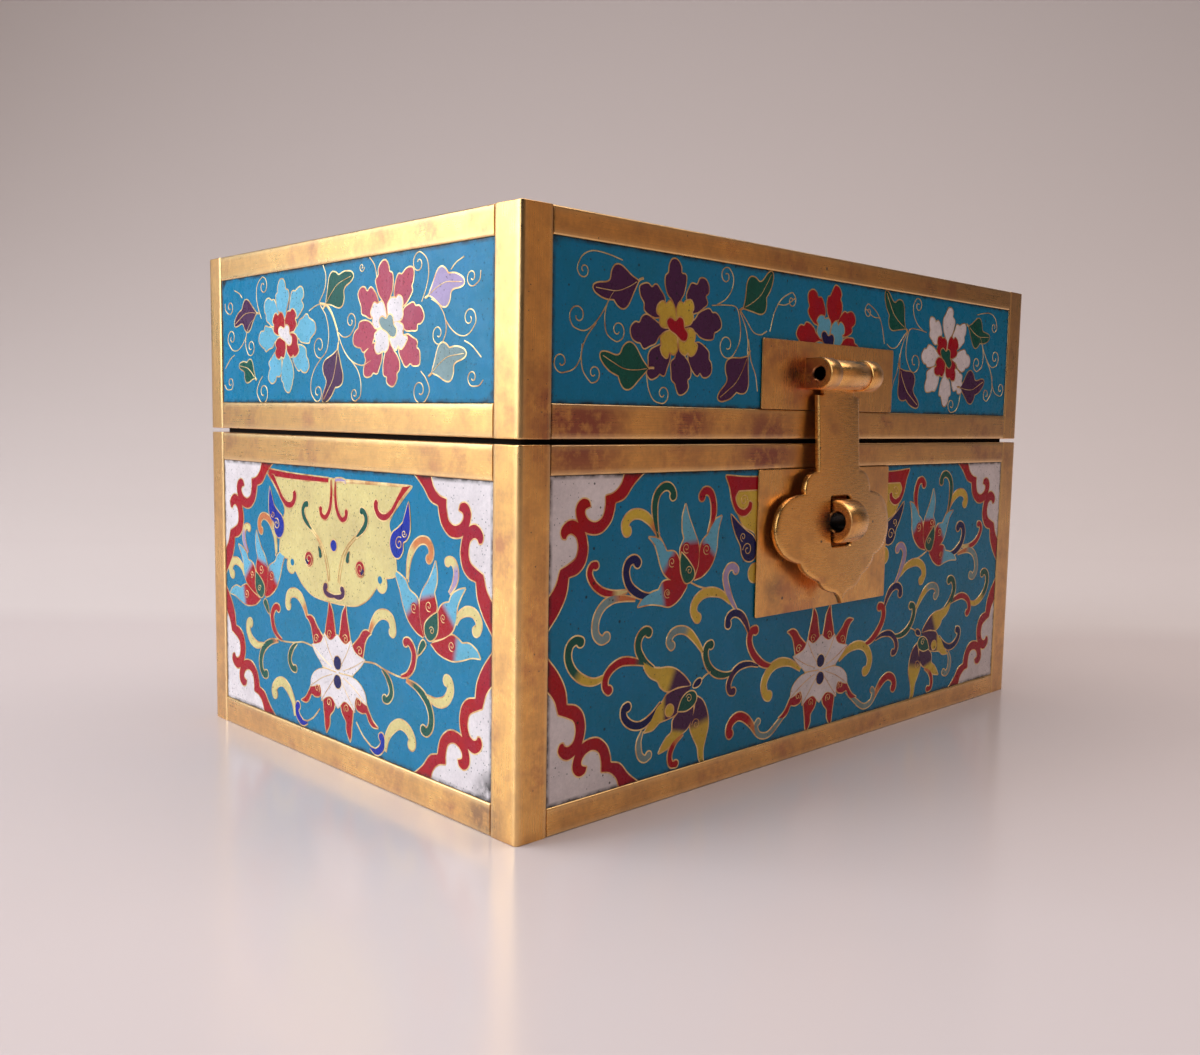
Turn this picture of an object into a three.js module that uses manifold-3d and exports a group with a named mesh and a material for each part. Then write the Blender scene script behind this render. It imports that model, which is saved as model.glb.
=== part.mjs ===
// A brass-framed cloisonne enamel box with a hinged lid and a hasp in front.
// Millimetres, +Z up. The origin is the middle of the underside, the front faces -Y, and +X is right.
import * as THREE from 'three';
import { mergeVertices } from 'three/addons/utils/BufferGeometryUtils.js';
import Module from 'manifold-3d';

const wasm = await Module();
wasm.setup();

// ---- Driving dimensions -------------------------------------------------------------------------
const LENGTH = 130; // along X
const DEPTH = 83.3; // along Y
const HEIGHT = 80; // lid closed
const BODY_HEIGHT = 50.6;
const SEAM = 0.7; // dark joint between the body's frame and the lid's
const STRIP = 2.0; // thickness of the frame's brass strips
const FRONT_STILE = 5.2; // width of a corner post, on the front and back faces
const SIDE_STILE = { front: 5.2, back: 4.4 }; // its width on the side faces
const EDGE_ROUND = 0.7; // worn outer edge of a corner post
const JOINT = 0.05; // hairline between pieces that meet on flat faces
const RECESS = 0.2; // the enamel lies this far behind the frame's face
const ENAMEL = 1.7; // thickness of an enamelled panel
const LINER = 0.8; // wall of the lining trays
const BASE = 1.2; // thickness of the base plate
const TOP_BORDER = 5.2; // width of the brass border round the lid's top
const TOP_STRIP = 1.8; // thickness of that border
const BODY_RAILS = { long: { low: 3.8, high: 3.9 }, short: { low: 4.4, high: 4.7 } }; // heights
const LID_RAILS = { long: { low: 4.5, high: 3.6 }, short: { low: 4.4, high: 3.9 } };

// The hasp: a leaf hung from the lid that drops over a staple lug on the body.
const PLATE = { width: 36, thickness: 0.38, lidTop: 66.4, bodyLow: 24.0 };
const HASP_AXIS = { standoff: 2.75, z: 61.5 }; // standoff is measured from the front face
const KNUCKLE = { radius: 2.3, half: 4.1 };
const EAR = { radius: 2.5, inner: 4.2, outer: 7.2 };
const HASP_PIN = { radius: 0.9, hole: 1.05, half: 5.9 };
const STRAP = { half: 5.6, shoulder: 58.2, low: 46.3 };
const LEAF = { thickness: 1.0, bow: 114, standoff: 3.0, tilt: 3.0 }; // bow is a radius, tilt in degrees
const LUG = { half: 2.4, low: 34.8, high: 41.7, reach: 6.7, hole: 1.45, holeStandoff: 3.7 };
const SLOT = { half: 2.8, low: 34.3, high: 42.2 };

// The two butt hinges on the back.
const BUTT = {
  place: 38, // of each hinge's middle, left and right of the box's
  half: 10,
  thickness: 0.8,
  low: 40.0,
  high: 62.0,
  radius: 1.8,
  pin: 0.8,
  hole: 0.95,
  play: 0.1, // at each end of a knuckle
  clearance: 0.35, // between a leaf's plate and the other leaf's knuckles
};

const SIDES = 24; // round pins and barrels
const LID_LOW = BODY_HEIGHT + SEAM;
const FRONT = -DEPTH / 2;
const BACK = DEPTH / 2;

// ---- Materials ----------------------------------------------------------------------------------
const FINISH = {
  brass: { color: 0xb58a45, roughness: 0.32, metalness: 1 },
  bright_brass: { color: 0xc99a50, roughness: 0.22, metalness: 1 },
  enamel: { color: 0x0f7391, roughness: 0.14, metalness: 0 },
  lining: { color: 0x2f8fae, roughness: 0.25, metalness: 0 },
};

const box = new THREE.Group();

function add(name, finish, geometry) {
  const mesh = new THREE.Mesh(geometry, new THREE.MeshStandardMaterial(FINISH[finish]));
  mesh.name = name;
  box.add(mesh);
}

// ---- Solids -------------------------------------------------------------------------------------
/** A closed three.js geometry as a manifold solid, with its shared vertices merged. */
function solid(geometry) {
  const bare = geometry.index ? geometry.toNonIndexed() : geometry;
  bare.deleteAttribute('normal');
  bare.deleteAttribute('uv');
  const merged = mergeVertices(bare, 1e-4);
  return new wasm.Manifold(new wasm.Mesh({
    numProp: 3,
    vertProperties: Float32Array.from(merged.attributes.position.array),
    triVerts: Uint32Array.from(merged.index.array),
  }));
}

/** A manifold solid as a three.js geometry. */
function geometryOf(manifold) {
  const mesh = manifold.getMesh();
  const geometry = new THREE.BufferGeometry();
  geometry.setAttribute('position', new THREE.BufferAttribute(mesh.vertProperties, 3));
  geometry.setIndex(new THREE.BufferAttribute(mesh.triVerts, 1));
  geometry.computeVertexNormals();
  return geometry;
}

/** A rectangular block between two corners. */
function block([x0, y0, z0], [x1, y1, z1]) {
  const geometry = new THREE.BoxGeometry(x1 - x0, y1 - y0, z1 - z0);
  return geometry.translate((x0 + x1) / 2, (y0 + y1) / 2, (z0 + z1) / 2);
}

/** An outline drawn in plan, X across and Y up the page, raised from z0 to z1. */
function raised(shape, z0, z1, curveSegments = 6) {
  const depth = z1 - z0;
  const geometry = new THREE.ExtrudeGeometry(shape, { depth, bevelEnabled: false, curveSegments });
  return geometry.translate(0, 0, z0);
}

/** An outline drawn on the front, X across and Z up the page, pushed from y0 back to y1. */
function pushed(shape, y0, y1, curveSegments = 8) {
  const depth = y1 - y0;
  const geometry = new THREE.ExtrudeGeometry(shape, { depth, bevelEnabled: false, curveSegments });
  return geometry.rotateX(Math.PI / 2).translate(0, y1, 0);
}

/** A round bar along X. */
function bar(radius, x0, x1, y, z) {
  const geometry = new THREE.CylinderGeometry(radius, radius, x1 - x0, SIDES);
  return geometry.rotateZ(Math.PI / 2).translate((x0 + x1) / 2, y, z);
}

// ---- Frames -------------------------------------------------------------------------------------
const CORNERS = [
  { name: 'front_left', x: -1, y: -1 },
  { name: 'front_right', x: 1, y: -1 },
  { name: 'back_left', x: -1, y: 1 },
  { name: 'back_right', x: 1, y: 1 },
];

/** An angle-section corner post, with its outer edge worn round. */
function cornerPost(corner, z0, z1) {
  const side = corner.y < 0 ? SIDE_STILE.front : SIDE_STILE.back;
  const points = [];
  const bends = 4;
  for (let i = 0; i <= bends; i += 1) {
    const angle = (i / bends) * (Math.PI / 2);
    points.push([EDGE_ROUND * (1 - Math.sin(angle)), EDGE_ROUND * (1 - Math.cos(angle))]);
  }
  points.push([0, side], [STRIP, side], [STRIP, STRIP], [FRONT_STILE, STRIP], [FRONT_STILE, 0]);
  const placed = points.map(([x, y]) => new THREE.Vector2(
    corner.x * (LENGTH / 2 - x),
    corner.y * (DEPTH / 2 - y),
  ));
  return raised(new THREE.Shape(placed), z0, z1);
}

// Each face of the box: its outer plane, and the span between its two posts.
const longSpan = LENGTH / 2 - FRONT_STILE - JOINT;
const shortSpan = { low: FRONT + SIDE_STILE.front + JOINT, high: BACK - SIDE_STILE.back - JOINT };
const FACES = [
  { name: 'front', run: 'long', out: -1 },
  { name: 'back', run: 'long', out: 1 },
  { name: 'left', run: 'short', out: -1 },
  { name: 'right', run: 'short', out: 1 },
];

/** A block on one face, from depth d0 to d1 behind its outer plane and from z0 to z1. */
function onFace(face, d0, d1, z0, z1) {
  const plane = (face.run === 'long' ? DEPTH : LENGTH) / 2;
  const [near, far] = [face.out * (plane - d0), face.out * (plane - d1)].sort((a, b) => a - b);
  return face.run === 'long'
    ? block([-longSpan, near, z0], [longSpan, far, z1])
    : block([near, shortSpan.low, z0], [far, shortSpan.high, z1]);
}

/** Posts, rails and enamelled panels of one storey of the box. */
function storey(prefix, z0, z1, rails) {
  for (const corner of CORNERS) {
    add(`${prefix}_post_${corner.name}`, 'brass', cornerPost(corner, z0, z1));
  }
  for (const face of FACES) {
    const { low, high } = rails[face.run];
    add(`${prefix}_bottom_rail_${face.name}`, 'brass', onFace(face, 0, STRIP, z0, z0 + low));
    add(`${prefix}_top_rail_${face.name}`, 'brass', onFace(face, 0, STRIP, z1 - high, z1));
    add(
      `${prefix}_enamel_${face.name}`,
      'enamel',
      onFace(face, RECESS, RECESS + ENAMEL, z0 + low + JOINT, z1 - high - JOINT),
    );
  }
}

storey('body', 0, BODY_HEIGHT, BODY_RAILS);
storey('lid', LID_LOW, HEIGHT, LID_RAILS);

// ---- Linings, base and lid top ------------------------------------------------------------------
const inner = { x: LENGTH / 2 - STRIP - JOINT, y: DEPTH / 2 - STRIP - JOINT };
const hollow = { x: inner.x - LINER, y: inner.y - LINER };
const seamMiddle = BODY_HEIGHT + SEAM / 2;

/** An open tray: a block with a smaller block taken out through one face. */
function tray(z0, z1, opening0, opening1) {
  const outside = solid(block([-inner.x, -inner.y, z0], [inner.x, inner.y, z1]));
  const inside = solid(block([-hollow.x, -hollow.y, opening0], [hollow.x, hollow.y, opening1]));
  return geometryOf(outside.subtract(inside));
}

const floorLow = BASE + JOINT;
const ceilingHigh = HEIGHT - TOP_STRIP - JOINT;
add('base_plate', 'brass', block([-inner.x, -inner.y, 0], [inner.x, inner.y, BASE]));
add('body_lining', 'lining', tray(floorLow, seamMiddle - JOINT / 2, floorLow + LINER, HEIGHT));
add('lid_lining', 'lining', tray(seamMiddle + JOINT / 2, ceilingHigh, 0, ceilingHigh - LINER));

const panelTop = { x: LENGTH / 2 - TOP_BORDER, y: DEPTH / 2 - TOP_BORDER };
const stripLow = HEIGHT - TOP_STRIP;
for (const [name, out] of [['front', -1], ['back', 1]]) {
  const [near, far] = [out * inner.y, out * panelTop.y].sort((a, b) => a - b);
  add(`lid_top_border_${name}`, 'brass', block([-inner.x, near, stripLow], [inner.x, far, HEIGHT]));
}
for (const [name, out] of [['left', -1], ['right', 1]]) {
  const [near, far] = [out * inner.x, out * panelTop.x].sort((a, b) => a - b);
  const end = panelTop.y - JOINT;
  add(`lid_top_border_${name}`, 'brass', block([near, -end, stripLow], [far, end, HEIGHT]));
}
const enamelTop = { x: panelTop.x - JOINT, y: panelTop.y - JOINT };
add('lid_enamel_top', 'enamel', block(
  [-enamelTop.x, -enamelTop.y, stripLow],
  [enamelTop.x, enamelTop.y, HEIGHT - RECESS],
));

// ---- Hasp ---------------------------------------------------------------------------------------
const plateBack = FRONT + RECESS - JOINT / 2;
const plateFront = plateBack - PLATE.thickness;
const haspY = FRONT - HASP_AXIS.standoff;

/** A D-shaped profile in Y and Z, flat at yBack and round in front of yRound, carried along X. */
function dBar(radius, x0, x1, yBack, yRound, z) {
  const shape = new THREE.Shape();
  // The extrusion's own X runs along -Y, and its own Y along Z.
  shape.moveTo(-yBack, z - radius);
  shape.lineTo(-yRound, z - radius);
  shape.absarc(-yRound, z, radius, -Math.PI / 2, Math.PI / 2, false);
  shape.lineTo(-yBack, z + radius);
  shape.closePath();
  const geometry = new THREE.ExtrudeGeometry(shape, {
    depth: x1 - x0,
    bevelEnabled: false,
    curveSegments: SIDES / 2,
  });
  const turn = new THREE.Matrix4().makeBasis(
    new THREE.Vector3(0, -1, 0),
    new THREE.Vector3(0, 0, 1),
    new THREE.Vector3(-1, 0, 0),
  );
  return geometry.applyMatrix4(turn).translate(x1, 0, 0);
}

/** The lid's plate with the two D-shaped ears that carry the hasp's pin. */
function haspLidPlate() {
  const half = PLATE.width / 2;
  const low = LID_LOW + LID_RAILS.long.low + JOINT;
  let plate = solid(block([-half, plateFront, low], [half, plateBack, PLATE.lidTop]));
  for (const side of [-1, 1]) {
    const [x0, x1] = [side * EAR.inner, side * EAR.outer].sort((a, b) => a - b);
    const foot = plateBack - PLATE.thickness / 2;
    plate = plate.add(solid(dBar(EAR.radius, x0, x1, foot, haspY, HASP_AXIS.z)));
  }
  const hole = bar(HASP_PIN.hole, -EAR.outer - 1, EAR.outer + 1, haspY, HASP_AXIS.z);
  return geometryOf(plate.subtract(solid(hole)));
}

// The lobed edge of the leaf, from the strap down to the tip. Each entry bends one curve towards a
// control point and ends it at a second point: [control x, control z, end x, end z].
const LOBES = [
  [8.6, 46.3, 9.1, 43.6], // small upper lobe
  [9.2, 43.2, 9.0, 42.8], // notch
  [15.4, 42.6, 15.8, 37.3], // side lobe, down to its widest point
  [15.6, 33.0, 10.2, 32.0], // and round to the notch under it
  [10.0, 30.4, 5.9, 28.9], // first lower lobe
  [4.9, 27.2, 1.9, 26.8], // second lower lobe
  [0.7, 26.5, 0, 24.9], // ogee to the tip
];

/** The front outline of the hasp: neck, shoulders, strap and the lobed leaf, the same left and right. */
function leafOutline() {
  const shape = new THREE.Shape();
  shape.moveTo(-STRAP.half, STRAP.shoulder);
  shape.lineTo(-STRAP.half, STRAP.low);
  for (const [controlX, controlZ, endX, endZ] of LOBES) {
    shape.quadraticCurveTo(-controlX, controlZ, -endX, endZ);
  }
  const starts = [[STRAP.half, STRAP.low], ...LOBES.map((lobe) => lobe.slice(2))];
  for (let i = LOBES.length - 1; i >= 0; i -= 1) {
    const [controlX, controlZ] = LOBES[i];
    shape.quadraticCurveTo(controlX, controlZ, ...starts[i]);
  }
  shape.lineTo(STRAP.half, STRAP.shoulder);
  shape.lineTo(KNUCKLE.half, STRAP.shoulder);
  shape.lineTo(KNUCKLE.half, HASP_AXIS.z);
  shape.lineTo(-KNUCKLE.half, HASP_AXIS.z);
  shape.lineTo(-KNUCKLE.half, STRAP.shoulder);
  shape.closePath();
  return shape;
}

/** A sheet bowed about an upright axis and leaning a little away from the box at its foot. */
function bowedSheet() {
  const half = Math.asin(18 / LEAF.bow);
  const steps = 12;
  const points = [];
  for (const [radius, way] of [[LEAF.bow, 1], [LEAF.bow - LEAF.thickness, -1]]) {
    for (let i = 0; i <= steps; i += 1) {
      const angle = way * half * ((2 * i) / steps - 1);
      points.push(new THREE.Vector2(radius * Math.sin(angle), LEAF.bow - radius * Math.cos(angle)));
    }
  }
  const middle = (LUG.low + LUG.high) / 2;
  return raised(new THREE.Shape(points), PLATE.bodyLow - middle - 2, STRAP.shoulder - middle + 6)
    .rotateX(-THREE.MathUtils.degToRad(LEAF.tilt))
    .translate(0, FRONT - LEAF.standoff, middle);
}

/** The hasp in one piece: knuckle, strap and lobed leaf, with the slot for the lug. */
function hasp() {
  const knuckle = solid(bar(KNUCKLE.radius, -KNUCKLE.half, KNUCKLE.half, haspY, HASP_AXIS.z));
  const ahead = FRONT - 2 * LUG.reach;
  const outline = solid(pushed(leafOutline(), ahead, FRONT));
  const slot = solid(block([-SLOT.half, ahead, SLOT.low], [SLOT.half, FRONT, SLOT.high]));
  const pinHole = solid(bar(HASP_PIN.hole, -EAR.outer, EAR.outer, haspY, HASP_AXIS.z));
  const leaf = solid(bowedSheet()).intersect(outline).subtract(slot);
  return geometryOf(leaf.add(knuckle).subtract(pinHole));
}

add('hasp_lid_plate', 'brass', haspLidPlate());
add('hasp_pin', 'bright_brass', bar(HASP_PIN.radius, -HASP_PIN.half, HASP_PIN.half, haspY, HASP_AXIS.z));
add('hasp', 'bright_brass', hasp());
const bodyPanelHigh = BODY_HEIGHT - BODY_RAILS.long.high - JOINT;
add('hasp_body_plate', 'brass', block(
  [-PLATE.width / 2, plateFront, PLATE.bodyLow],
  [PLATE.width / 2, plateBack, bodyPanelHigh],
));

/** The staple lug: a round-nosed block with a hole across it for a padlock or peg. */
function stapleLug() {
  const radius = (LUG.high - LUG.low) / 2;
  const middle = (LUG.high + LUG.low) / 2;
  const noseY = FRONT - LUG.reach + radius;
  const nose = solid(dBar(radius, -LUG.half, LUG.half, plateFront - JOINT, noseY, middle));
  const hole = solid(bar(LUG.hole, -LUG.half - 1, LUG.half + 1, FRONT - LUG.holeStandoff, middle));
  return geometryOf(nose.subtract(hole));
}
add('staple_lug', 'bright_brass', stapleLug());

// ---- Back hinges --------------------------------------------------------------------------------
const leafBack = BACK + JOINT / 2;
const buttAxis = { y: leafBack + BUTT.radius + JOINT, z: seamMiddle };
const third = (2 * BUTT.half) / 3;

/** One leaf of a butt hinge: a plate that stops short of the barrel, and its own knuckles. */
function buttLeaf(x, zFar, knuckles) {
  const clear = BUTT.radius + BUTT.clearance;
  const up = Math.sign(zFar - buttAxis.z);
  const near = buttAxis.z + up * clear;
  const span = (a, b) => [a, b].sort((p, q) => p - q);
  const [z0, z1] = span(near, zFar);
  const yOut = leafBack + BUTT.thickness;
  let leaf = solid(block([x - BUTT.half, leafBack, z0], [x + BUTT.half, yOut, z1]));
  for (const index of knuckles) {
    const x0 = x - BUTT.half + index * third + BUTT.play;
    const x1 = x0 + third - 2 * BUTT.play;
    const [t0, t1] = span(buttAxis.z, near + up * BUTT.play);
    leaf = leaf.add(solid(block([x0, leafBack, t0], [x1, yOut, t1])));
    leaf = leaf.add(solid(bar(BUTT.radius, x0, x1, buttAxis.y, buttAxis.z)));
  }
  const hole = solid(bar(BUTT.hole, x - BUTT.half - 1, x + BUTT.half + 1, buttAxis.y, buttAxis.z));
  return geometryOf(leaf.subtract(hole));
}

for (const [name, x] of [['left', -BUTT.place], ['right', BUTT.place]]) {
  add(`hinge_body_leaf_${name}`, 'brass', buttLeaf(x, BUTT.low, [0, 2]));
  add(`hinge_lid_leaf_${name}`, 'brass', buttLeaf(x, BUTT.high, [1]));
  const [x0, x1] = [x - BUTT.half, x + BUTT.half];
  add(`hinge_pin_${name}`, 'bright_brass', bar(BUTT.pin, x0, x1, buttAxis.y, buttAxis.z));
}

export default box;
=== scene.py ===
"""A brass-framed cloisonne enamel box with a hinged lid and a lobed hasp.

The box's lengths are millimetres until a mesh is made, which turns them to metres. The floor, the
lamps and the camera are placed in metres. A panel's own places are millimetres to the right of and
below its face's top left corner.
"""

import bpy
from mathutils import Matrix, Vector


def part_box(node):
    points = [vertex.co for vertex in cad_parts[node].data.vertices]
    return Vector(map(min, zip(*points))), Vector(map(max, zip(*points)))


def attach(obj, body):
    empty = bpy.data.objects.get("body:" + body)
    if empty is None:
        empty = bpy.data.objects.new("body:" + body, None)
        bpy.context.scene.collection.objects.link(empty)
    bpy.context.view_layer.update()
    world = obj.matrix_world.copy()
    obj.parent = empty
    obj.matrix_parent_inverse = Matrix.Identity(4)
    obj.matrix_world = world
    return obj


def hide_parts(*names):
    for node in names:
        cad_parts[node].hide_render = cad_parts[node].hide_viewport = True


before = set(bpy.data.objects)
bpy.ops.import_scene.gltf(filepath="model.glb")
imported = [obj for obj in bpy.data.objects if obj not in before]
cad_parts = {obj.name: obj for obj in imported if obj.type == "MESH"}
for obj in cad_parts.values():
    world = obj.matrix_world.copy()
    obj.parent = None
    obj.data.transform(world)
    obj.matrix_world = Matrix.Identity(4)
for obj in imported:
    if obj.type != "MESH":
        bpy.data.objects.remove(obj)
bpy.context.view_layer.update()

import math

import bpy
import numpy as np
from bpy.props import FloatProperty, FloatVectorProperty, PointerProperty
from mathutils import Matrix, Vector

bl_info = {
    "name": "Cloisonne enamel box",
    "version": (1, 0, 0),
    "blender": (4, 5, 0),
    "location": "3D View > Sidebar > Enamel box",
    "description": "Builds a brass-framed cloisonne enamel box round its packed solids",
    "category": "Add Mesh",
}

MM = 0.001
HALF_LENGTH, HALF_DEPTH = 65.0, 41.65  # of the box without its hasp and its back hinges
BODY_TOP, LID_TOP = 50.6, 80.0  # heights of the body's rim and of the whole box


def linear(colour):
    """An sRGB hex colour as linear red, green and blue."""
    s = np.array([int(colour[i : i + 2], 16) for i in (1, 3, 5)]) / 255
    return tuple(np.where(s <= 0.04045, s / 12.92, ((s + 0.055) / 1.055) ** 2.4).tolist())


# ---- Sizes and colours ------------------------------------------------------------------------
def length(name, description, value):
    """A size of so many millimetres."""
    return FloatProperty(
        name=name, description=description, default=value * MM, min=0.0, unit="LENGTH", precision=5
    )


def colour(name, description, value):
    """A colour given as sRGB hex."""
    return FloatVectorProperty(
        name=name, description=description, default=linear(value), min=0.0, max=1.0, subtype="COLOR"
    )


class CloisonneSizes(bpy.types.PropertyGroup):
    """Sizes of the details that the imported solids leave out."""

    strip_edge: length("Strip edge", "Radius of the worn long edges of the brass strips", 0.28)
    plate_edge: length("Plate edge", "Radius round the edges of the hasp's thin plates", 0.12)
    casting_edge: length("Casting edge", "Bevel round the hasp leaf, its ears and the lug", 0.28)
    layer: length("Layer", "Height of one wire or one fill of enamel over the last", 0.011)


class CloisonneColours(bpy.types.PropertyGroup):
    """Colours of the enamels, the metals and the stage."""

    turquoise: colour("Turquoise", "Ground enamel of every panel", "#0A779D")
    white: colour("White", "White enamel of the corners and the lotus", "#E6DAD9")
    red: colour("Red", "Red enamel of the scrolls and petals", "#A8242F")
    rose: colour("Rose", "Rose enamel of one flower on the lid", "#B04A5C")
    yellow: colour("Yellow", "Yellow enamel", "#D3B052")
    cream: colour("Cream", "Pale yellow enamel", "#DCC98C")
    salmon: colour("Salmon", "Orange-pink enamel at some tendrils' roots", "#CF7F55")
    navy: colour("Navy", "Darkest blue enamel", "#14154F")
    blue: colour("Blue", "Strong blue enamel", "#1B2E9C")
    pale_blue: colour("Pale blue", "Pale blue enamel of the petals' tips", "#6FB0C8")
    green: colour("Green", "Dark green enamel", "#0B5244")
    grey: colour("Grey", "Grey-green enamel", "#7F9494")
    lilac: colour("Lilac", "Pale lilac enamel", "#A994B6")
    purple: colour("Purple", "Dark purple enamel", "#4A2348")
    brass: colour("Brass", "Clean brass", "#F6B656")
    tarnish: colour("Brown tarnish", "Brown tarnish on the brass", "#9C5A22")
    copper: colour("Copper tarnish", "Copper-red tarnish on the brass", "#A8502A")
    gilt: colour("Gilt", "Clean gilding of the wires", "#F6D79A")
    worn_gilt: colour("Worn gilt", "Wires whose gilding has dulled", "#C98E5C")
    # Dirt along the panels' edges, with painted shade there.
    pinhole: colour("Pinhole", "Dark polish in the enamel's pinholes", "#1C1714")
    grime: colour("Grime", "Grime along the panels' edges", "#1F160F")
    lining: colour("Lining", "Plain enamel inside the box", "#2A93B5")
    floor: colour("Floor", "Pale gloss surface that the box stands on", "#DCD1CF")


def sizes():
    """The sizes as millimetres."""
    group = bpy.context.scene.cloisonne_sizes
    return {name: getattr(group, name) / MM for name in CloisonneSizes.__annotations__}


def colours():
    """The colours as linear rows of numbers."""
    group = bpy.context.scene.cloisonne_colours
    return {name: tuple(getattr(group, name)) for name in CloisonneColours.__annotations__}


# ---- Surfaces ---------------------------------------------------------------------------------
def unit(v):
    """Each row at length one."""
    return v / np.maximum(np.linalg.norm(v, axis=-1, keepdims=True), 1e-9)


def grid_quads(rows, cols, wrap_rows=False):
    """Quads over a grid of rows by columns, closed round its columns, and round its rows if asked."""
    r = np.arange(rows if wrap_rows else rows - 1)[:, None]
    c = np.arange(cols)[None, :]
    up, right = (r + 1) % rows, (c + 1) % cols
    return np.stack([r * cols + c, r * cols + right, up * cols + right, up * cols + c], -1).reshape(-1, 4)


def pole(ring, point, last):
    """Triangles from a ring of points to one point, turned to agree with the grid's quads."""
    after = np.roll(ring, -1)
    fan = [ring, after] if last else [after, ring]
    return np.stack([*fan, np.full(len(ring), point)], 1)


def capped(grid, start, end):
    """A grid of closed rings joined into a skin, with a point closing it at each end."""
    rows, cols = grid.shape[:2]
    count = rows * cols
    points = np.vstack([grid.reshape(-1, 3), start, end])
    faces = [
        grid_quads(rows, cols).tolist(),
        pole(np.arange(cols), count, last=False).tolist(),
        pole(np.arange(count - cols, count), count + 1, last=True).tolist(),
    ]
    return points, sum(faces, [])


def ringed(grid):
    """A grid closed both ways, as round a hole."""
    return grid.reshape(-1, 3), grid_quads(*grid.shape[:2], wrap_rows=True).tolist()


def joined(parts):
    """Several skins as one: their points one after another, and their faces counted on."""
    points, faces, count = [], [], 0
    for p, f in parts:
        points.append(p)
        faces += (np.array(f) + count).tolist() if len({len(x) for x in f}) == 1 else [
            [i + count for i in face] for face in f
        ]
        count += len(p)
    return np.vstack(points), faces


def outward(points, faces):
    """The faces turned so that the skin holds a positive volume."""
    tri = np.array([(f[0], f[i], f[i + 1]) for f in faces for i in range(1, len(f) - 1)])
    a, b, c = (points[tri[:, i]] for i in range(3))
    volume = np.einsum("ij,ij->i", a, np.cross(b, c)).sum()
    return faces if volume > 0 else [f[::-1] for f in faces]


def piece(name, skin, body, finish, replaces=(), attributes=None, smooth=None):
    """A closed skin in millimetres as an object that rides a body. Attributes are one row to a point."""
    points, faces = skin
    mesh = bpy.data.meshes.new(name)
    mesh.from_pydata((points * MM).tolist(), [], outward(points, faces))
    for key, values in (attributes or {}).items():
        values = np.asarray(values, np.float32)
        kind, field = ("FLOAT", "value") if values.ndim == 1 else ("FLOAT_COLOR", "color")
        layer = mesh.attributes.new(key, kind, "POINT")
        layer.data.foreach_set(field, values.ravel())
    mesh.materials.append(finish)
    obj = bpy.data.objects.new(name, mesh)
    bpy.context.scene.collection.objects.link(obj)
    if smooth:
        mesh.shade_smooth()
        mesh.set_sharp_from_angle(angle=math.radians(smooth))
    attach(obj, body)
    if replaces:
        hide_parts(*replaces)
    return obj


# ---- Bars and posts ---------------------------------------------------------------------------
def rounded(corners, radius, steps=3):
    """A closed outline whose corners are arcs: each arc runs between the points a radius away along
    the two sides, on the quadratic curve that has the corner as its control."""
    p = np.asarray(corners, float)
    to_last, to_next = unit(np.roll(p, 1, 0) - p), unit(np.roll(p, -1, 0) - p)
    t = np.linspace(0, 1, steps + 1)[None, :, None]
    a, b = (p + to_last * radius)[:, None], (p + to_next * radius)[:, None]
    return ((1 - t) ** 2 * a + 2 * t * (1 - t) * p[:, None] + t**2 * b).reshape(-1, 2)


def carried(outline, core, radius, low, high, rows=24):
    """An outline carried from low to high. Over the last radius at each end it draws in towards its
    core along a quarter circle, and a fan closes it. Gives a grid of (across, across, along)."""
    turn = np.radians(np.linspace(0, 90, 4))
    # A second ring, close inside the first, keeps the flat end's shading flat up to its edge.
    ends = radius * np.r_[1.7, 1 - np.sin(turn)]
    rise = radius * np.r_[0.0, 1 - np.cos(turn)]
    along = np.r_[low + rise, np.linspace(low + 2 * radius, high - 2 * radius, rows), high - rise[::-1]]
    inset = np.r_[ends, np.zeros(rows), ends[::-1]]
    grid = outline[None] - unit(outline - core)[None] * inset[:, None, None]
    return np.concatenate([grid, np.broadcast_to(along[:, None, None], grid.shape[:2] + (1,))], 2)


def refined(outline, longest):
    """The outline with points added along its sides, so that no two are further apart than that."""
    parts = []
    for a, b in zip(outline, np.roll(outline, -1, 0)):
        count = max(1, math.ceil(np.linalg.norm(b - a) / longest))
        parts.append(a + (b - a) * np.arange(count)[:, None] / count)
    return np.vstack(parts)


def edge_mark(outline, corners, reach):
    """How near each outline point is to a corner: one at it, and nothing further off than the reach."""
    away = np.linalg.norm(outline[:, None] - np.asarray(corners, float)[None], axis=2).min(1)
    return np.clip(1 - away / reach, 0, 1)


def metal_marks(grid, along, edges, seed):
    """What the brass reads at each point: place along and across its strip, and how worn its edge is."""
    rng = np.random.default_rng(seed)
    shift = rng.uniform(-300, 300, 2)
    reach = grid[..., along]
    across = np.delete(grid, along, axis=2).sum(2)
    worn = np.broadcast_to(edges, reach.shape)
    marks = np.stack([reach + shift[0], across + shift[1], worn, np.ones_like(reach)], -1).reshape(-1, 4)
    return np.vstack([marks, marks[[0, -1]]])


# ---- Lines and outlines in the enamel -----------------------------------------------------------
RIM = 0.2  # gilt wire that shows round a cell
STEP = 0.3  # between two stations of a line
KNOB = 0.6  # radius of a tendril's round end over its width


def stations(line, at):
    """Points of a line at given distances along it."""
    reach = np.r_[0, np.cumsum(np.linalg.norm(np.diff(line, axis=0), axis=1))]
    return np.stack([np.interp(at(reach[-1]), reach, line[:, i]) for i in range(2)], 1)


def even(length):
    """Distances an even step apart."""
    return np.linspace(0, length, max(4, int(np.ceil(length / STEP)) + 1))


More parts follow.
